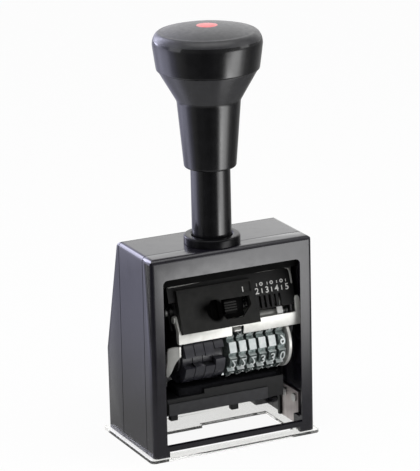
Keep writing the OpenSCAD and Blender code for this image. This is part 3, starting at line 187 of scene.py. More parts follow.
def mesh_piece(name, points, faces, smooth=None):
    """Object at the origin from points in metres and faces as index lists; doubles are merged and
    the faces turned outwards. With an angle, faces are smooth across every edge below it."""
    mesh = bpy.data.meshes.new(name)
    mesh.from_pydata(np.asarray(points, float).tolist(), [], [list(f) for f in faces])
    tidy = bmesh.new()
    tidy.from_mesh(mesh)
    bmesh.ops.remove_doubles(tidy, verts=tidy.verts, dist=1e-7)
    bmesh.ops.recalc_face_normals(tidy, faces=tidy.faces)
    tidy.to_mesh(mesh)
    tidy.free()
    if smooth is not None:
        mesh.polygons.foreach_set("use_smooth", np.ones(len(mesh.polygons), bool))
        mesh.set_sharp_from_angle(angle=radians(smooth))
    thing = bpy.data.objects.new(name, mesh)
    bpy.context.scene.collection.objects.link(thing)
    return thing


floor = mesh_piece("white_sheet", [(-4, -4, -0.0001), (4, -4, -0.0001), (4, 4, -0.0001), (-4, 4, -0.0001)],
    [(0, 1, 2, 3)])
paper = bpy.data.materials.new("white_sheet")
paper.use_nodes = True
tree = paper.node_tree
shader = tree.nodes["Principled BSDF"]
shader.inputs["Base Color"].default_value = (0.97, 0.97, 0.97, 1)
shader.inputs["Roughness"].default_value = 0.9
spot = tree.nodes.new("ShaderNodeTexCoord").outputs["Object"]
reach = tree.nodes.new("ShaderNodeVectorMath")
reach.operation = "LENGTH"
tree.links.new(spot, reach.inputs[0])
mirrored = blended(tree, reach.outputs["Value"], 0.30, 0.40, studio_light(tree, spot, NEAR),
    studio_light(tree, spot, FAR))
mirrored = blended(tree, reach.outputs["Value"], 0.06, 0.27, 0.5, mirrored)
glow = tree.nodes.new("ShaderNodeEmission")
mirrored = blended(tree, ray_kind(tree, "Is Transmission Ray"), 0, 1, mirrored, 1.0)
tree.links.new(blended(tree, ray_kind(tree, "Is Glossy Ray"), 0, 1, 1.0, mirrored), glow.inputs["Color"])
share = blended(tree, ray_kind(tree, "Is Camera Ray", "Is Transmission Ray"), 0, 1,
    ray_kind(tree, "Is Glossy Ray"), 0.93)
mix = tree.nodes.new("ShaderNodeMixShader")
tree.links.new(share, mix.inputs["Fac"])
tree.links.new(shader.outputs[0], mix.inputs[1])
tree.links.new(glow.outputs[0], mix.inputs[2])
tree.links.new(mix.outputs[0], tree.nodes["Material Output"].inputs["Surface"])
floor.data.materials.append(paper)

# ---- Base plate ----
# A flat injection moulding in milky clear acrylic. It carries the print window through which the
# wheels reach the paper, and four screws hold the housing on it from below.

FRONT = -0.01965        # the housing's front face


def new_finish(name):
    """Empty node material: the material, its node tree and its Principled shader."""
    material = bpy.data.materials.new(name)
    material.use_nodes = True
    return material, material.node_tree, material.node_tree.nodes["Principled BSDF"]


def grain(tree, size, stretch=(1, 1, 1), detail=3.0, roughness=0.5):
    """Noise on Object coordinates, with blotches of about that size in metres."""
    place = tree.nodes.new("ShaderNodeTexCoord")
    scale = tree.nodes.new("ShaderNodeMapping")
    scale.inputs["Scale"].default_value = stretch
    noise = tree.nodes.new("ShaderNodeTexNoise")
    noise.inputs["Scale"].default_value = 1.0 / size
    noise.inputs["Detail"].default_value = detail
    noise.inputs["Roughness"].default_value = roughness
    tree.links.new(place.outputs["Object"], scale.inputs["Vector"])
    tree.links.new(scale.outputs["Vector"], noise.inputs["Vector"])
    return noise.outputs["Fac"]


def spread(tree, value, low, high, start=0.3, end=0.7, clamp=True):
    """Value between start and end, spread over low to high."""
    node = tree.nodes.new("ShaderNodeMapRange")
    node.clamp = clamp
    node.inputs["From Min"].default_value = start
    node.inputs["From Max"].default_value = end
    node.inputs["To Min"].default_value = low
    node.inputs["To Max"].default_value = high
    tree.links.new(value, node.inputs["Value"])
    return node.outputs["Result"]


def two_tone(tree, value, first, second):
    """Colour that goes from first to second as the value goes from 0.3 to 0.7."""
    node = tree.nodes.new("ShaderNodeValToRGB")
    node.color_ramp.elements[0].position = 0.3
    node.color_ramp.elements[0].color = (*first, 1)
    node.color_ramp.elements[1].position = 0.7
    node.color_ramp.elements[1].color = (*second, 1)
    tree.links.new(value, node.inputs["Fac"])
    return node.outputs["Color"]


def relief(tree, shader, value, strength, height):
    """Bump from a value, in metres of height."""
    node = tree.nodes.new("ShaderNodeBump")
    node.inputs["Strength"].default_value = strength
    node.inputs["Distance"].default_value = height
    tree.links.new(value, node.inputs["Height"])
    tree.links.new(node.outputs["Normal"], shader.inputs["Normal"])


def moulded(name, first, second, gloss, blotch=0.006, orange_peel=0.0009, peel=0.04, sheen=0.5):
    """Moulded plastic: two close tones, gloss that varies from low to high, a faint orange peel."""
    material, tree, shader = new_finish(name)
    shader.inputs["Specular IOR Level"].default_value = sheen
    cloud = grain(tree, blotch)
    tree.links.new(two_tone(tree, cloud, first, second), shader.inputs["Base Color"])
    tree.links.new(spread(tree, grain(tree, blotch * 0.6, detail=5), *gloss), shader.inputs["Roughness"])
    relief(tree, shader, grain(tree, orange_peel, detail=2), peel, 0.0001)
    return material


def broken_edges(thing, name, width, segments=2, bend=35):
    """Small bevel on every edge sharper than the bend."""
    bevel = thing.modifiers.new(name, "BEVEL")
    bevel.width = width
    bevel.segments = segments
    bevel.limit_method = "ANGLE"
    bevel.angle_limit = radians(bend)
    return bevel


def crisp(node, name, body, finish, edge=0.00015, bend=35, segments=2):
    """A cleaned copy of a CAD node: doubles merged, flat faces joined, edges broken by a small
    bevel, smooth across soft bends."""
    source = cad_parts[node]
    mesh = bpy.data.meshes.new(name)
    tidy = bmesh.new()
    tidy.from_mesh(source.data)
    bmesh.ops.remove_doubles(tidy, verts=tidy.verts, dist=2e-6)
    bmesh.ops.dissolve_degenerate(tidy, edges=tidy.edges, dist=1e-6)
    bmesh.ops.dissolve_limit(tidy, angle_limit=radians(0.4), verts=tidy.verts, edges=tidy.edges)
    tidy.to_mesh(mesh)
    tidy.free()
    mesh.polygons.foreach_set("use_smooth", np.ones(len(mesh.polygons), bool))
    mesh.set_sharp_from_angle(angle=radians(bend))
    thing = bpy.data.objects.new(name, mesh)
    bpy.context.scene.collection.objects.link(thing)
    mesh.materials.append(finish)
    broken_edges(thing, "broken_edges", edge, segments, bend).harden_normals = True
    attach(thing, body)
    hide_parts(node)
    return thing


milky, tree, shader = new_finish("milky_acrylic")
tree.links.new(two_tone(tree, grain(tree, 0.012), (0.985, 0.985, 0.965), (1.0, 1.0, 0.985)),
    shader.inputs["Base Color"])
tree.links.new(spread(tree, grain(tree, 0.003, detail=5), 0.02, 0.06), shader.inputs["Roughness"])
shader.inputs["Transmission Weight"].default_value = 0.94
shader.inputs["IOR"].default_value = 1.2
relief(tree, shader, grain(tree, 0.0015), 0.05, 0.0001)
plate = crisp("base_plate", "base_moulding", "housing", milky, edge=0.0002)

# ---- Housing: front frame, body and rear cover ----
# Three shells in polished black plastic, joined in narrow shadow grooves. The mould was polished,
# so the faces mirror the room and the rounded edges carry thin highlights.

polished_black = moulded("polished_black_plastic", (0.006, 0.0055, 0.009), (0.010, 0.009, 0.014),
    (0.14, 0.22))
for node, name in (("front_frame", "front_frame_shell"), ("housing_body", "body_shell"),
        ("rear_cover", "rear_cover_shell")):
    shell = crisp(node, name, "housing", polished_black, edge=0.00018, segments=3)

# ---- Screws of the housing ----
# Zinc-plated steel screws with slotted and plain heads. They are driven into bosses moulded in the
# shells, and into the side walls to hold the rails and plates.

zinc, tree, shader = new_finish("zinc_plated_steel")
shader.inputs["Metallic"].default_value = 1.0
tree.links.new(two_tone(tree, grain(tree, 0.0012), (0.50, 0.50, 0.50), (0.66, 0.66, 0.65)),
    shader.inputs["Base Color"])
tree.links.new(spread(tree, grain(tree, 0.0006, detail=4), 0.25, 0.45), shader.inputs["Roughness"])
relief(tree, shader, grain(tree, 0.0004), 0.08, 0.0001)
for node in ("base_screws", "rear_cover_screws", "wall_plate_screws"):
    screws = crisp(node, node.replace("_", "_plated_", 1), "housing", zinc, edge=0.00012)

# ---- Guide ring, rails and wall plates ----
# The ring with its bored neck is black-enamelled and held by a nut under the roof. Two channelled
# rails, a cam plate on the left wall and a wear plate on the right wall guide the moving carriage.

enamel = moulded("black_enamel", (0.003, 0.003, 0.0035), (0.006, 0.006, 0.007), (0.10, 0.18), blotch=0.003)
satin_black = moulded("satin_black_plastic", (0.003, 0.003, 0.0033), (0.006, 0.006, 0.0066), (0.38, 0.5),
    blotch=0.004, orange_peel=0.0005, peel=0.12, sheen=0.3)
dull_black = moulded("dull_black_plastic", (0.0015, 0.0015, 0.0015), (0.003, 0.003, 0.003), (0.6, 0.75),
    blotch=0.004, orange_peel=0.0005, peel=0.1, sheen=0.06)
ring_black = moulded("ring_black_enamel", (0.003, 0.003, 0.0035), (0.006, 0.006, 0.007), (0.16, 0.26),
    blotch=0.003, sheen=0.12)
RING_X, RING_Y = -0.0028, FRONT + 0.013


def lathe(name, centre, profile, sides=160, bend=40):
    """Turned shape: each (radius, height) of the closed profile goes round a vertical axis at centre."""
    profile = np.asarray(profile, float)
    angle = np.linspace(0, 2 * pi, sides, endpoint=False)
    points = np.empty((sides, len(profile), 3))
    points[..., 0] = centre[0] + np.outer(np.cos(angle), profile[:, 0])
    points[..., 1] = centre[1] + np.outer(np.sin(angle), profile[:, 0])
    points[..., 2] = profile[None, :, 1]
    return mesh_piece(name, points.reshape(-1, 3), wrapped_quads(sides, len(profile), True, True), bend)


def wrapped_quads(rows, columns, wrap_rows, wrap_columns):
    """Quads of a grid, with the last row or column joined to the first where wrapped."""
    i = np.arange(rows if wrap_rows else rows - 1)[:, None]
    j = np.arange(columns if wrap_columns else columns - 1)[None, :]
    i2, j2 = (i + 1) % rows, (j + 1) % columns
    quads = np.stack(np.broadcast_arrays(i * columns + j, i2 * columns + j, i2 * columns + j2,
        i * columns + j2), -1)
    return quads.reshape(-1, 4)


def rounded(corners, radii, steps=6):
    """Polygon whose corners are rounded: each corner is a quadratic curve between points at the
    given distance along its two sides."""
    corners = np.asarray(corners, float)
    before, after = np.roll(corners, 1, 0) - corners, np.roll(corners, -1, 0) - corners
    reach = np.broadcast_to(np.asarray(radii, float), len(corners))
    path = []
    for corner, b, a, r in zip(corners, before, after, reach):
        if r <= 0:
            path.append(corner[None])
            continue
        start = corner + b * min(0.5, r / np.linalg.norm(b))
        end = corner + a * min(0.5, r / np.linalg.norm(a))
        s = np.linspace(0, 1, steps)[:, None]
        path.append((1 - s) ** 2 * start + 2 * s * (1 - s) * corner + s ** 2 * end)
    return np.concatenate(path)


ring = lathe("guide_ring", (RING_X, RING_Y), rounded([
    (0.00845, 0.0830), (0.0098, 0.0830), (0.0098, 0.0888), (0.0120, 0.0888), (0.0120, 0.0925),
    (0.0092, 0.0925), (0.00845, 0.0918)], [0.0001, 0.0002, 0, 0.0003, 0.0009, 0.0004, 0.0004]))
ring.data.materials.append(ring_black)
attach(ring, "housing")
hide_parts("guide_bushing")

black_steel, tree, shader = new_finish("blackened_steel")
shader.inputs["Metallic"].default_value = 0.85
tree.links.new(two_tone(tree, grain(tree, 0.002), (0.05, 0.05, 0.052), (0.11, 0.11, 0.115)),
    shader.inputs["Base Color"])
tree.links.new(spread(tree, grain(tree, 0.0008), 0.32, 0.5), shader.inputs["Roughness"])
relief(tree, shader, grain(tree, 0.0005), 0.08, 0.0001)

rolled, tree, shader = new_finish("rolled_steel")
shader.inputs["Metallic"].default_value = 1.0
tree.links.new(two_tone(tree, grain(tree, 0.004, (1, 1, 0.25), 5), (0.40, 0.36, 0.35), (0.66, 0.61, 0.60)),
    shader.inputs["Base Color"])
tree.links.new(spread(tree, grain(tree, 0.0012, (1, 1, 0.1), 5), 0.28, 0.5), shader.inputs["Roughness"])
relief(tree, shader, grain(tree, 0.0006, (1, 1, 0.06)), 0.1, 0.0001)

for node, name, finish, slot_name in (("bushing_nut", "ring_nut", black_steel, "steel"),
        ("guide_rail_left", "left_rail_channel", satin_black, "carriage_black"),
        ("guide_rail_right", "right_rail_channel", satin_black, "carriage_black"),
        ("cam_plate", "cam_track_plate", black_steel, "steel"),
        ("wear_plate", "wall_wear_plate", rolled, "steel"),
        ("spring_anchor_bar", "spring_anchor_rod", zinc, "steel")):
    piece = crisp(node, name, "housing", finish, edge=0.00012)

# ---- Return springs ----
# Close-wound extension springs of hard-drawn wire with a ring bent at each end. The upper ring
# hangs on the anchor rod in the housing, the lower one on the carriage's spring rod.

spring_wire, tree, shader = new_finish("spring_wire")
shader.inputs["Metallic"].default_value = 1.0
tree.links.new(two_tone(tree, grain(tree, 0.0008), (0.42, 0.42, 0.43), (0.60, 0.60, 0.60)),
    shader.inputs["Base Color"])
tree.links.new(spread(tree, grain(tree, 0.0005), 0.22, 0.38), shader.inputs["Roughness"])
ANCHOR = np.array([FRONT + 0.0293, 0.0826])
HOOKED = np.array([FRONT + 0.0276, 0.0541])
WIRE, COIL, HOOK, TURNS = 0.00045, 0.00255, 0.00215, 23


def wound_wire(x):
    """Centre line of the spring: a ring round the anchor rod, a helix of constant radius, and a
    ring round the lower rod. Its length runs along the line between the two rods."""
    length = np.linalg.norm(HOOKED - ANCHOR)
    along = (HOOKED - ANCHOR) / length
    t = np.linspace(0, 1, 40)
    start, end = 1.9 * HOOK, length - 1.9 * HOOK
    upper_turn, lower_turn = 1.65 * pi * t, 1.64 * pi * t + 0.6
    upper = np.stack([0 * t, HOOK * np.sin(upper_turn), -HOOK * np.cos(upper_turn)], 1)
    coil_t = np.linspace(0, 1, TURNS * 20)
    phase = 2 * pi * TURNS * coil_t
    helix = np.stack([COIL * np.cos(phase), COIL * np.sin(phase), start + (end - start) * coil_t], 1)
    lower = np.stack([0 * t, HOOK * np.sin(lower_turn), length - HOOK * np.cos(lower_turn)], 1)
    path = np.concatenate([upper, helix, lower])
    across = np.array([-along[1], along[0]])
    placed = np.empty_like(path)
    placed[:, 0] = x + path[:, 0]
    placed[:, 1] = ANCHOR[0] + path[:, 1] * across[0] + path[:, 2] * along[0]
    placed[:, 2] = ANCHOR[1] + path[:, 1] * across[1] + path[:, 2] * along[1]
    return placed


def drawn_wire(name, path, radius, sides=8):
    """Round wire along a path: at each point a ring across the path's direction, with both ends
    drawn together to a point."""
    step = np.gradient(path, axis=0)
    step /= np.linalg.norm(step, axis=1)[:, None]
    side = np.cross(step, (0.31, 0.77, 0.55))
    side /= np.linalg.norm(side, axis=1)[:, None]
    other = np.cross(step, side)
    angle = np.linspace(0, 2 * pi, sides, endpoint=False)
    width = np.full(len(path), radius)
    width[[0, -1]] = 0
    rings = path[:, None] + width[:, None, None] * (np.cos(angle)[None, :, None] * side[:, None]
        + np.sin(angle)[None, :, None] * other[:, None])
    return mesh_piece(name, rings.reshape(-1, 3), wrapped_quads(len(path), sides, False, True), 60)


for node, name, x in (("return_spring_left", "left_return_spring", -0.014),
        ("return_spring_right", "right_return_spring", 0.018)):
    spring = drawn_wire(name, wound_wire(x), WIRE)
    spring.data.materials.append(spring_wire)
    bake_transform(spring)
    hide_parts(node)

# ---- Plunger shaft ----
# A steel tube, black-enamelled and polished bright, which slides through the guide ring. The handle
# is screwed to its upper end and the carriage's bridge is clamped to its lower end.

shaft = lathe("shaft_tube", (RING_X, RING_Y), rounded([
    (0.0059, 0.0752), (0.0084, 0.0752), (0.0084, 0.15095), (0.0020, 0.15095), (0.0020, 0.14495),
    (0.0059, 0.14495)], 0.0002))
shaft.data.materials.append(enamel)
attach(shaft, "plunger")
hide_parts("plunger_shaft")

# ---- Handle: sleeve with cone, palm cap and coloured disc ----
# The tapered sleeve and its flared cone are one black moulding; the cone is coloured a lighter grey, a
# painted reflection of the roof below it. The palm cap is pressed on it, with a glossy side and a finely
# eroded satin dome; a coloured disc closes the screw's hole.

handle_black = moulded("handle_black_plastic", (0.004, 0.004, 0.0045), (0.007, 0.007, 0.008), (0.12, 0.2),
    blotch=0.004)
dome_satin = moulded("eroded_black_plastic", (0.016, 0.016, 0.018), (0.024, 0.024, 0.027), (0.34, 0.44),
    blotch=0.003, orange_peel=0.0003, peel=0.14)


def face_centres(thing):
    """Middle of each face, one row per face."""
    middle = np.empty(len(thing.data.polygons) * 3)
    thing.data.polygons.foreach_get("center", middle)
    return middle.reshape(-1, 3)


# The cone's faces are coloured a lighter grey than the sleeve: a painted reflection of the housing's roof
# below them.
cone_painted_reflection = moulded("cone_plastic_painted_reflection", (0.018, 0.018, 0.020), (0.024, 0.024, 0.027), (0.14, 0.24),
    blotch=0.004)
CONE_FOOT, CONE_MIDDLE_R, CONE_FLARE = 0.1510, 0.0124, 0.597    # a cone in the middle of its wall
sleeve = lathe("handle_sleeve", (RING_X, RING_Y), rounded([
    (0.0088, 0.1218), (0.0110, 0.1218), (0.01345, 0.1504), (0.0209, 0.1634), (0.0186, 0.1634),
    (0.0112, 0.1510), (0.0020, 0.1510), (0.0020, 0.1480), (0.0088, 0.1480)],
    [0.0006, 0.0012, 0.0008, 0.0003, 0.0005, 0.0005, 0.0001, 0.0001, 0.0005]))
sleeve.data.materials.append(handle_black)
sleeve.data.materials.append(cone_painted_reflection)
middle = face_centres(sleeve)
out = np.hypot(middle[:, 0] - RING_X, middle[:, 1] - RING_Y)
rise = middle[:, 2] - CONE_FOOT
cone_faces = (rise > 0.0002) & (out > CONE_MIDDLE_R + CONE_FLARE * rise)
sleeve.data.polygons.foreach_set("material_index", cone_faces.astype(np.int32))
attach(sleeve, "plunger")
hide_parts("knob_sleeve")

RIM_Z, TOP_Z, CAP_Z = 0.1743, 0.1820, 0.1634
DOME_R, DOME_DROP, SHOULDER_W, SHOULDER_H, SHOULDER_STEPS = 0.0196, 0.0024, 0.0034, 0.0053, 17
dome_r = np.linspace(0.0, DOME_R, 36)
dome = np.stack([dome_r, TOP_Z - DOME_DROP * (dome_r / DOME_R) ** 2.4], 1)
quarter = np.linspace(0, pi / 2, SHOULDER_STEPS + 1)[1:]
shoulder = np.stack([DOME_R + SHOULDER_W * np.sin(quarter), RIM_Z + SHOULDER_H * np.cos(quarter)], 1)
side = rounded([(0.0230, RIM_Z), (0.0226, 0.1709), (0.0216, CAP_Z + 0.0004), (0.0209, CAP_Z)],
    [0, 0.003, 0.0005, 0])[1:]
cap_profile = np.concatenate([dome, shoulder, side, [(0.0194, CAP_Z), (0.0204, 0.1725), (0.0, 0.1745)]])
cap = lathe("palm_cap", (RING_X, RING_Y), cap_profile, sides=192, bend=50)
cap.data.materials.append(handle_black)
cap.data.materials.append(dome_satin)
dome_faces = face_centres(cap)[:, 2] > RIM_Z + SHOULDER_H * cos(quarter[11])
cap.data.polygons.foreach_set("material_index", dome_faces.astype(np.int32))
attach(cap, "plunger")
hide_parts("knob_cap")

# A salmon disc in the middle of the cap, slightly domed, pressed in over the handle's screw.

salmon = moulded("salmon_plastic", (0.84, 0.17, 0.18), (0.90, 0.21, 0.22), (0.30, 0.42), blotch=0.002,
    peel=0.03)
DISC_R, DISC_FOOT = 0.0052, 0.1803
disc_r = np.linspace(0, DISC_R, 16)
disc_top = np.stack([disc_r, TOP_Z + 0.0003 - 0.0006 * (disc_r / DISC_R) ** 3], 1)
disc_foot = [(DISC_R + 0.00005, DISC_FOOT), (0.0, DISC_FOOT)]
disc = lathe("coloured_disc", (RING_X, RING_Y), np.concatenate([disc_top, disc_foot]), sides=96)
disc.data.materials.append(salmon)
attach(disc, "plunger")
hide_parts("knob_disc")
screw = crisp("knob_screw", "handle_screw", "plunger", zinc, edge=0.0001)

# ---- Carriage: bridge, side plates and rods ----
# A black bridge is clamped under the shaft. Two blackened steel side plates hang from it, held
# apart by turned steel rods, and carry the wheels' axle.

for node, name, finish, slot_name in (
        ("carriage_bridge", "carriage_bridge_moulding", dull_black, "carriage_black"),
        ("carriage_plate_left", "left_side_plate", black_steel, "steel"),
        ("carriage_plate_right", "right_side_plate", black_steel, "steel"),
        ("tie_rods", "plate_tie_rods", zinc, "steel"),
        ("selector_rod", "selector_guide_rod", zinc, "steel"),
        ("spring_rod", "spring_hook_rod", zinc, "steel"),
        ("panel_screws", "panel_fixing_screws", zinc, "screw_steel"),
        ("axle_clips", "axle_retaining_clips", black_steel, "steel")):
    piece = crisp(node, name, "plunger", finish, edge=0.0001)

# ---- Cover plate, scale panel and their printed figures ----
# Satin black mouldings on the slope, with figures printed in white. The panel carries the scale, the comb of
# slots and a bead coloured light grey as a painted highlight; the cover has a scooped thumb mark, a recess
# and a sunk label, with painted shade over the scoop and the recess.

cover_finish = moulded("fine_eroded_plastic", (0.012, 0.012, 0.0115), (0.018, 0.018, 0.017), (0.45, 0.6),
    blotch=0.003, orange_peel=0.00035, peel=0.16, sheen=0.22)
panel_finish = moulded("black_panel_plastic", (0.004, 0.004, 0.004), (0.008, 0.008, 0.008), (0.40, 0.55),
    blotch=0.003, orange_peel=0.00035, peel=0.12, sheen=0.25)
cover_painted_scoop_shade, tree, shader = new_finish("cover_plastic_painted_scoop_shade")
TILT = radians(18.4)
SLOPE_FOOT = np.array([0.0, FRONT + 0.001, 0.054])
SLOPE_UP = np.array([0.0, sin(TILT), cos(TILT)])
SLOPE_OUT = np.array([0.0, -cos(TILT), sin(TILT)])


def oval_shade(tree, x, up, half_x, half_z, start, end):
    """1 inside an oval that lies on the slope at x and up, falling to 0 outside it: the distance
    from its middle, in halves of the oval, goes from start to end."""
    place = tree.nodes.new("ShaderNodeTexCoord").outputs["Object"]
    far = tree.nodes.new("ShaderNodeCombineXYZ")
    ways = ((1, 0, 0), x, half_x), ((0, 0, 1), SLOPE_FOOT[2] + up * cos(TILT), half_z)
    for i, (axis, middle, half) in enumerate(ways):
        dot = tree.nodes.new("ShaderNodeVectorMath")
        dot.operation = "DOT_PRODUCT"
        dot.inputs[1].default_value = axis
        tree.links.new(place, dot.inputs[0])
        away = spread(tree, dot.outputs["Value"], -1, 1, middle - half, middle + half, clamp=False)
        tree.links.new(away, far.inputs[i])
    length = tree.nodes.new("ShaderNodeVectorMath")
    length.operation = "LENGTH"
    tree.links.new(far.outputs[0], length.inputs[0])
    return spread(tree, length.outputs["Value"], 1, 0, start, end)


# Painted shade: inside two ovals over the thumb scoop and the recess the base colour goes to near-black and
# the specular to nothing, standing for the shade in the hollows.
darker = tree.nodes.new("ShaderNodeMath")
darker.operation = "MAXIMUM"
tree.links.new(oval_shade(tree, -0.0062, 0.0078, 0.0042, 0.0046, 0.85, 1.1), darker.inputs[0])
tree.links.new(oval_shade(tree, -0.0095, 0.0090, 0.0062, 0.0046, 0.2, 1.2), darker.inputs[1])
shade = darker.outputs[0]
tone = tree.nodes.new("ShaderNodeMix")
tone.data_type = "RGBA"
tone.inputs[7].default_value = (0.0015, 0.0015, 0.0015, 1)
tree.links.new(shade, tone.inputs[0])
tree.links.new(two_tone(tree, grain(tree, 0.003), (0.012, 0.012, 0.0115), (0.018, 0.018, 0.017)),
    tone.inputs[6])
tree.links.new(tone.outputs[2], shader.inputs["Base Color"])
tree.links.new(spread(tree, shade, 0.16, 0.0, 0, 1), shader.inputs["Specular IOR Level"])
tree.links.new(spread(tree, grain(tree, 0.0018, detail=5), 0.45, 0.6), shader.inputs["Roughness"])
relief(tree, shader, grain(tree, 0.00035, detail=2), 0.16, 0.0001)
cover = crisp("front_cover", "slanting_cover", "plunger", cover_painted_scoop_shade, edge=0.00015, bend=30)
panel = crisp("scale_panel", "scale_panel_moulding", "plunger", panel_finish, edge=0.00012)


def figure_mesh(text, height, depth):
    """Points and faces of a raised figure, centred on the origin in its own plane."""
    curve = bpy.data.curves.new("figure", "FONT")
    curve.body = text
    curve.size = height / 0.72
    curve.align_x, curve.align_y = "CENTER", "CENTER"
    curve.extrude = depth / 2
    curve.resolution_u = 3
    curve.offset = height * 0.018
    writer = bpy.data.objects.new("figure", curve)
    flat = bpy.data.meshes.new_from_object(writer)
    points = np.empty(len(flat.vertices) * 3)
    flat.vertices.foreach_get("co", points)
    faces = [tuple(p.vertices) for p in flat.polygons]
    bpy.data.objects.remove(writer)
    bpy.data.curves.remove(curve)
    bpy.data.meshes.remove(flat)
    return points.reshape(-1, 3), faces


def gathered(parts):
    """One list of points and faces from several."""
    points, faces, base = [], [], 0
    for p, f in parts:
        points.append(p)
        faces += [tuple(int(i) + base for i in face) for face in f]
        base += len(p)
    return np.concatenate(points), faces


def on_slope(points, x, up, out):
    """Places figure points on the slope: at x, up along it from its foot, out from its face."""
    return (SLOPE_FOOT + np.outer(points[:, 0] + x, (1, 0, 0)) + np.outer(points[:, 1] + up, SLOPE_UP)
        + np.outer(points[:, 2] + out, SLOPE_OUT))


def bar_mesh(width, height, depth):
    """Flat upright bar centred on the origin."""
    corners = np.array([(x, y, z) for z in (-1, 1) for x, y in ((-1, -1), (1, -1), (1, 1), (-1, 1))], float)
    faces = [(3, 2, 1, 0), (4, 5, 6, 7), (0, 1, 5, 4), (1, 2, 6, 5), (2, 3, 7, 6), (3, 0, 4, 7)]
    return corners * (width / 2, height / 2, depth / 2), faces


def spot_mesh(radius, hole, depth, sides=20):
    """Ring-shaped mark: outer and inner circle, front and back."""
    a = np.linspace(0, 2 * pi, sides, endpoint=False)
    section = np.array([(radius, -depth / 2), (radius, depth / 2), (hole, depth / 2), (hole, -depth / 2)])
    points = np.stack([np.outer(np.cos(a), section[:, 0]), np.outer(np.sin(a), section[:, 0]),
        np.broadcast_to(section[:, 1], (sides, 4))], -1)
    return points.reshape(-1, 3), wrapped_quads(sides, 4, True, True)


# The bead: a straight-sided path in millimetres on the slope, taken at even steps.
BEAD_R, BEAD_OUT, BEAD_STEPS = 0.00042, -0.00165, 160
corners = np.array([(-26.0, 20.73), (-22.3, 20.74), (-17.7, 20.78), (-13, 21.0), (-8.3, 21.34), (-3.5, 21.6),
    (1.2, 21.6), (8.2, 21.39), (15.3, 21.17), (22.4, 21.08), (26.8, 21.24), (29.2, 21.18), (30.9, 20.35),
    (31.3, 19.0), (31.4, 17.0), (31.4, 13.7)]) / 1000
run = np.concatenate([[0], np.cumsum(np.linalg.norm(np.diff(corners, axis=0), axis=1))])
even = np.linspace(0, run[-1], BEAD_STEPS)
path = np.stack([np.interp(even, run, corners[:, 0]), np.interp(even, run, corners[:, 1]), 0 * even], 1)
bead_piece = drawn_wire("panel_bead", on_slope(path, 0, 0, BEAD_OUT), BEAD_R, sides=12)
# The bead is coloured light grey: a painted highlight along the panel's top edge, which lies in shade under
# the bridge.
bead_painted_highlight = moulded("bead_painted_highlight_plastic", (0.22, 0.22, 0.21), (0.34, 0.34, 0.32), (0.3, 0.45),
    blotch=0.006)
bead_piece.data.materials.append(bead_painted_highlight)
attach(bead_piece, "plunger")

white_print, tree, shader = new_finish("white_print")
tree.links.new(two_tone(tree, grain(tree, 0.0004, detail=4), (0.62, 0.62, 0.60), (0.80, 0.80, 0.78)),
    shader.inputs["Base Color"])
shader.inputs["Roughness"].default_value = 0.5
PANEL_OUT, LABEL_OUT, INK = -0.0017, -0.0005, 0.00006
marks = []


def printed(shape, x, up, out=PANEL_OUT):
    """Adds a mark's points and faces to the print, placed on the slope."""
    marks.append((on_slope(shape[0], x, up, out), shape[1]))


for figure, x in (("2", 0.01475), ("3", 0.01953), ("4", 0.0241), ("5", 0.0290)):
    printed(figure_mesh(figure, 0.0027, INK), x, 0.0128)
for x in (0.0171, 0.0217, 0.0265):
    printed(bar_mesh(0.0004, 0.0020, INK), x, 0.0128)
for x in (0.0150, 0.0200, 0.02455, 0.0288):
    printed(bar_mesh(0.0003, 0.0012, INK), x, 0.0156)
for x in (0.0171, 0.0220, 0.0267):
    printed(spot_mesh(0.0008, 0.0004, INK), x, 0.0157)
printed(figure_mesh("1", 0.0023, INK), 0.0077, 0.0147, LABEL_OUT)
figures = mesh_piece("printed_figures", *gathered(marks))
figures.data.materials.append(white_print)
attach(figures, "plunger")

# ---- Bar over the wheels, with its horn, arm and screws ----
# Nickel-plated steel strip, bent: a flat left half and a lipped right half with a gap for the
# pawl's finger, screwed on at both ends. A blade of the same strip keeps the axle on the left.

nickel, tree, shader = new_finish("nickel_plate")
shader.inputs["Metallic"].default_value = 0.5
tree.links.new(two_tone(tree, grain(tree, 0.003, detail=5), (0.56, 0.56, 0.53), (0.66, 0.66, 0.63)),
    shader.inputs["Base Color"])
tree.links.new(spread(tree, grain(tree, 0.0012, (0.3, 1, 1)), 0.32, 0.4), shader.inputs["Roughness"])
relief(tree, shader, grain(tree, 0.0012, (0.2, 1, 1)), 0.02, 0.00006)
for node, name in (("front_bar", "wheel_bar"), ("bar_screws", "wheel_bar_screws"),
        ("axle_keeper", "axle_keeper_blade")):
    piece = crisp(node, name, "plunger", nickel, edge=0.00012)

# ---- Trip lever ----
# A small black moulded lever at the carriage's left. It turns on a shouldered screw and is tipped
# once in each stroke.

lever = crisp("trip_lever", "trip_lever_blade", "trip", satin_black, edge=0.0001)
screw = crisp("trip_screw", "trip_shoulder_screw", "plunger", zinc, edge=0.0001)

# ---- Wheels' axle, spacer and end flange ----
# A ground steel axle runs right through; a black spacer holds the ink pad's arm off on the left,
# and a turned, polished flange closes the row of wheels on the right.

for node, name, finish, slot_name in (
        ("wheel_axle", "wheels_axle", nickel, "steel"),
        ("axle_spacer", "axle_spacer_tube", satin_black, "carriage_black"),
        ("end_flange", "wheels_end_flange", nickel, "chrome")):
    piece = crisp(node, name, "plunger", finish, edge=0.0002)

# ---- Number wheels ----
# Six die-cast zinc wheels, nickel-plated: ten raised blocks each carry a mirrored figure, and a
# ratchet beside them is driven by the pawls. They turn freely on the axle.

AXLE = np.array([FRONT + 0.013, 0.0407])
PITCH, FIRST_NUMBER, TYPE_W, WHEEL_W = 0.00465, 0.0013, 0.0033, 0.00455
BLOCK_FACE, DRUM, BORE = 0.01120, 0.0098, 0.00205
RAISED = 0.0010         # depth of a figure, half of it inside the block


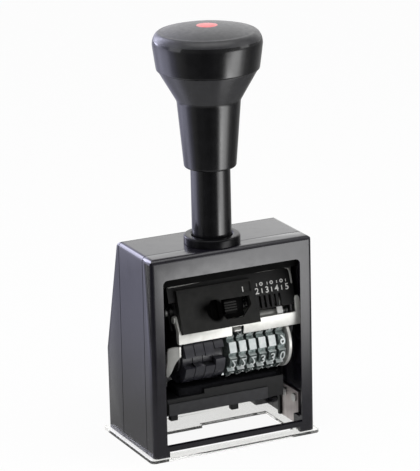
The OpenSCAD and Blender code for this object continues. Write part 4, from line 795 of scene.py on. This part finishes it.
def turned_ring(outline, x0, x1, bore=BORE):
    """Closed ring along X: an outline (angle, radius) round the axle on the outside, a plain bore
    inside. The angle is measured from straight down towards the rear."""
    angle, radius = np.asarray(outline, float).T
    r = np.stack([radius, radius, np.full_like(radius, bore), np.full_like(radius, bore)], 1)
    x = np.broadcast_to(np.array([x0, x1, x1, x0]), r.shape)
    points = np.stack([x, AXLE[0] + r * np.sin(angle)[:, None], AXLE[1] - r * np.cos(angle)[:, None]], -1)
    return points.reshape(-1, 3), wrapped_quads(len(radius), 4, True, True)


def block_outline():
    """Ten flat-faced blocks on the drum: each face is a chord 4.6 mm long, its sides drop straight
    to the drum, and the floor between two blocks is a point of the drum's circle."""
    half = 0.0023
    foot = np.sqrt(DRUM ** 2 - half ** 2)
    s = np.linspace(-half, half, 5)
    face = np.stack([s, np.full(5, BLOCK_FACE)], 1)
    flat = np.concatenate([[(-half, foot)], face, [(half, foot)]])
    angle, radius = np.arctan2(flat[:, 0], flat[:, 1]), np.hypot(flat[:, 0], flat[:, 1])
    one = np.concatenate([np.stack([angle, radius], 1), [(radians(18), DRUM)]])
    turns = np.repeat(np.arange(10) * radians(36), len(one))
    every = np.tile(one, (10, 1))
    every[:, 0] += turns
    return every


def ratchet_outline():
    """Ten saw teeth: the radius drops at once by 1 mm, and rises again along each tooth."""
    one = np.array([(0, 0.0082), (radians(3), 0.0072), (radians(14), 0.0076), (radians(25), 0.0079)])
    every = np.tile(one, (10, 1))
    every[:, 0] += np.repeat(np.arange(10) * radians(36), len(one))
    every[:, 0] = radians(90) - every[:, 0]
    return every[::-1]


def on_block(points, x, turn):
    """Places a figure on the block at an angle: mirrored, its top to the rear when it is lowest."""
    a = radians(turn)
    out = BLOCK_FACE + points[:, 2]
    return np.stack([x + points[:, 0], AXLE[0] + points[:, 1] * cos(a) + out * sin(a),
        AXLE[1] + points[:, 1] * sin(a) - out * cos(a)], -1)


cast_zinc, tree, shader = new_finish("plated_zinc_casting")
shader.inputs["Metallic"].default_value = 0.7
tree.links.new(two_tone(tree, grain(tree, 0.0022, detail=3), (0.66, 0.72, 0.71), (0.88, 0.91, 0.90)),
    shader.inputs["Base Color"])
tree.links.new(spread(tree, grain(tree, 0.0008), 0.30, 0.40), shader.inputs["Roughness"])
relief(tree, shader, grain(tree, 0.0003), 0.03, 0.00008)
# Dark metal for the recesses: partly ink left in them, partly painted shade of the hollows.
ink_and_shade_metal, tree, shader = new_finish("ink_and_painted_shade_recess_metal")
shader.inputs["Metallic"].default_value = 0.7
tree.links.new(two_tone(tree, grain(tree, 0.0009, detail=5), (0.04, 0.055, 0.055), (0.22, 0.26, 0.25)),
    shader.inputs["Base Color"])
tree.links.new(spread(tree, grain(tree, 0.0004, detail=4), 0.35, 0.55), shader.inputs["Roughness"])
SET_FIGURES, PLAIN_ROW = (2, 2, 2, 3, 3, 0), 7
for i in range(6):
    left = FIRST_NUMBER - 0.002225 + PITCH * i
    parts = [turned_ring(block_outline(), left, left + TYPE_W),
        turned_ring(ratchet_outline(), left + TYPE_W, left + WHEEL_W)]
    for row in range(10):
        if row == PLAIN_ROW and i < 5:
            continue
        figure = str((row - 8 + SET_FIGURES[i]) % 10)
        p, f = figure_mesh(figure, 0.0043, RAISED)
        p[:, 0] *= 0.9
        parts.append((on_block(p, left + TYPE_W / 2, 36 * row), f))
    wheel = mesh_piece(f"figure_wheel_{i + 1}", *gathered(parts), smooth=30)
    wheel.data.materials.append(cast_zinc)
    wheel.data.materials.append(ink_and_shade_metal)
    middle = face_centres(wheel)
    out = np.hypot(middle[:, 1] - AXLE[0], middle[:, 2] - AXLE[1])
    turned = np.degrees(np.arctan2(middle[:, 1] - AXLE[0], AXLE[1] - middle[:, 2])) % 360
    plain = (np.abs((turned - 36 * PLAIN_ROW + 180) % 360 - 180) < 18) & (i < 5)
    # Faces round the raised figures and the drum between the blocks take the dark metal: ink stain and
    # painted shade together.
    sunk = ((out < BLOCK_FACE + 0.00022) & (out > 0.0108) & ~plain) | (out < 0.0105)
    wheel.data.polygons.foreach_set("material_index", sunk.astype(np.int32))
    broken_edges(wheel, "cast_edges", 0.00012)
    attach(wheel, f"number_{i + 1}")
    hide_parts(f"number_wheel_{i + 1}")

# ---- Blank wheels ----
# Four slate-grey plastic mouldings with five plain lugs each. They turn on the axle and fill the
# places that print nothing.

slate = moulded("slate_plastic", (0.016, 0.016, 0.021), (0.026, 0.026, 0.033), (0.28, 0.42), blotch=0.002,
    orange_peel=0.0003, peel=0.12)
FIRST_BLANK, BLANK_HALF, LUG_R, FLOOR_R = -0.019475, 0.00215, 0.0115, 0.0080


def lug_outline(turn):
    """Five lugs 48 degrees wide on a smaller drum: the radius steps between lug and floor."""
    lug = np.stack([np.radians(np.linspace(-24, 24, 13)), np.full(13, LUG_R)], 1)
    gap = np.stack([np.radians(np.linspace(24, 48, 7)), np.full(7, FLOOR_R)], 1)
    one = np.concatenate([lug, gap])
    every = np.tile(one, (5, 1))
    every[:, 0] += np.repeat(np.arange(5) * radians(72), len(one)) + radians(turn)
    return every


for i, turn_angle in enumerate((18.8, 16, 18.8, 6.2)):
    centre = FIRST_BLANK + PITCH * i
    wheel = mesh_piece(f"plain_wheel_{i + 1}", *turned_ring(lug_outline(turn_angle), centre - BLANK_HALF,
        centre + BLANK_HALF), smooth=30)
    wheel.data.materials.append(slate)
    broken_edges(wheel, "moulded_edges", 0.0003, segments=3)
    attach(wheel, f"blank_{i + 1}")
    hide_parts(f"blank_wheel_{i + 1}")

# ---- Pawls and detent springs ----
# The pawl frame swings on the axle and its spring fingers advance the wheels; fixed fingers on the
# upper rod hold them between strokes. Pressed and formed spring steel.

for node, name, body, finish, slot_name in (
        ("detent_springs", "detent_fingers", "plunger", nickel, "spring_steel"),
        ("pawl_frame", "pawl_swing_frame", "pawls", zinc, "steel"),
        ("pawl_fingers", "pawl_spring_fingers", "pawls", nickel, "spring_steel")):
    piece = crisp(node, name, body, finish, edge=0.0001)

# ---- Selector lever and latch tab ----
# A white moulded pointer slides along its rod behind the comb. The black ribbed tab in the recess
# is pushed with a fingertip to free it.

ivory = moulded("white_plastic", (0.80, 0.80, 0.78), (0.88, 0.88, 0.86), (0.3, 0.45), blotch=0.002)
pointer = crisp("selector_lever", "selector_pointer", "selector", ivory, edge=0.00015)
tab = crisp("latch_tab", "latch_slide_tab", "latch", dull_black, edge=0.00012)
ribs = []
for k in range(4):
    p, f = bar_mesh(0.0056, 0.0006, 0.0006)
    ribs.append((on_slope(p, 0.0004, 0.0070 + 0.0011 * k, 0.0004), f))
rib_piece = mesh_piece("latch_tab_ribs", *gathered(ribs))
rib_piece.data.materials.append(cover_finish)
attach(rib_piece, "latch")

# ---- Ink pad carrier ----
# A black moulded tray whose two arms swing on the axle. A dark grey strip is let into its front,
# and the tray holds the felt pad.

tray = crisp("pad_tray", "ink_tray", "pad_carrier", satin_black, edge=0.00025)
for node, name in (("pad_arm_left", "left_tray_arm"), ("pad_arm_right", "right_tray_arm")):
    arm = crisp(node, name, "pad_carrier", satin_black, edge=0.0002)
strip_grey = moulded("dark_grey_plastic", (0.020, 0.020, 0.022), (0.030, 0.030, 0.033), (0.35, 0.5),
    blotch=0.003, sheen=0.35)
strip = crisp("pad_strip", "tray_front_strip", "pad_carrier", strip_grey, edge=0.0002)

# ---- Ink pad ----
# A block of dense wool felt soaked in black ink, cut with slightly soft edges and crowned by the
# swelling of the felt. It lies in the tray and touches the type at rest.


def felt_block(low, high, crown=0.0003, power=0.16, sides=(48, 20)):
    """Rounded cushion in a box: each point of a squashed sphere grid is pulled to the box by
    raising its coordinates to a low power, and top and bottom are crowned by a cosine."""
    u = np.linspace(0, 2 * pi, 4 * sides[0], endpoint=False)[:, None]
    v = np.linspace(-pi / 2, pi / 2, 2 * sides[1] + 1)[None, :]
    x = np.sign(np.cos(u)) * np.abs(np.cos(u) * np.cos(v)) ** power
    y = np.sign(np.sin(u)) * np.abs(np.sin(u) * np.cos(v)) ** power
    z = np.sign(np.sin(v)) * np.abs(np.sin(v)) ** power + 0 * u
    low, high = np.asarray(low), np.asarray(high)
    middle, half = (low + high) / 2, (high - low) / 2
    points = np.stack([x, y, z], -1)
    sink = crown * (1 - np.cos(points[..., 0] * pi / 2) * np.cos(points[..., 1] * pi / 2))
    points = middle + points * half
    points[..., 2] -= np.sign(z) * sink
    return points.reshape(-1, 3), wrapped_quads(u.size, v.size, True, False)


pad_low, pad_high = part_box("ink_pad")
inked_felt, tree, shader = new_finish("inked_wool_felt")
tree.links.new(two_tone(tree, grain(tree, 0.0015, detail=6), (0.002, 0.002, 0.003), (0.006, 0.006, 0.008)),
    shader.inputs["Base Color"])
shader.inputs["Roughness"].default_value = 0.92
shader.inputs["Specular IOR Level"].default_value = 0.2
relief(tree, shader, grain(tree, 0.00035, detail=6), 0.7, 0.00015)
felt = mesh_piece("ink_felt_pad", *felt_block(pad_low, pad_high), smooth=60)
felt.data.materials.append(inked_felt)
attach(felt, "pad_carrier")
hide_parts("ink_pad")
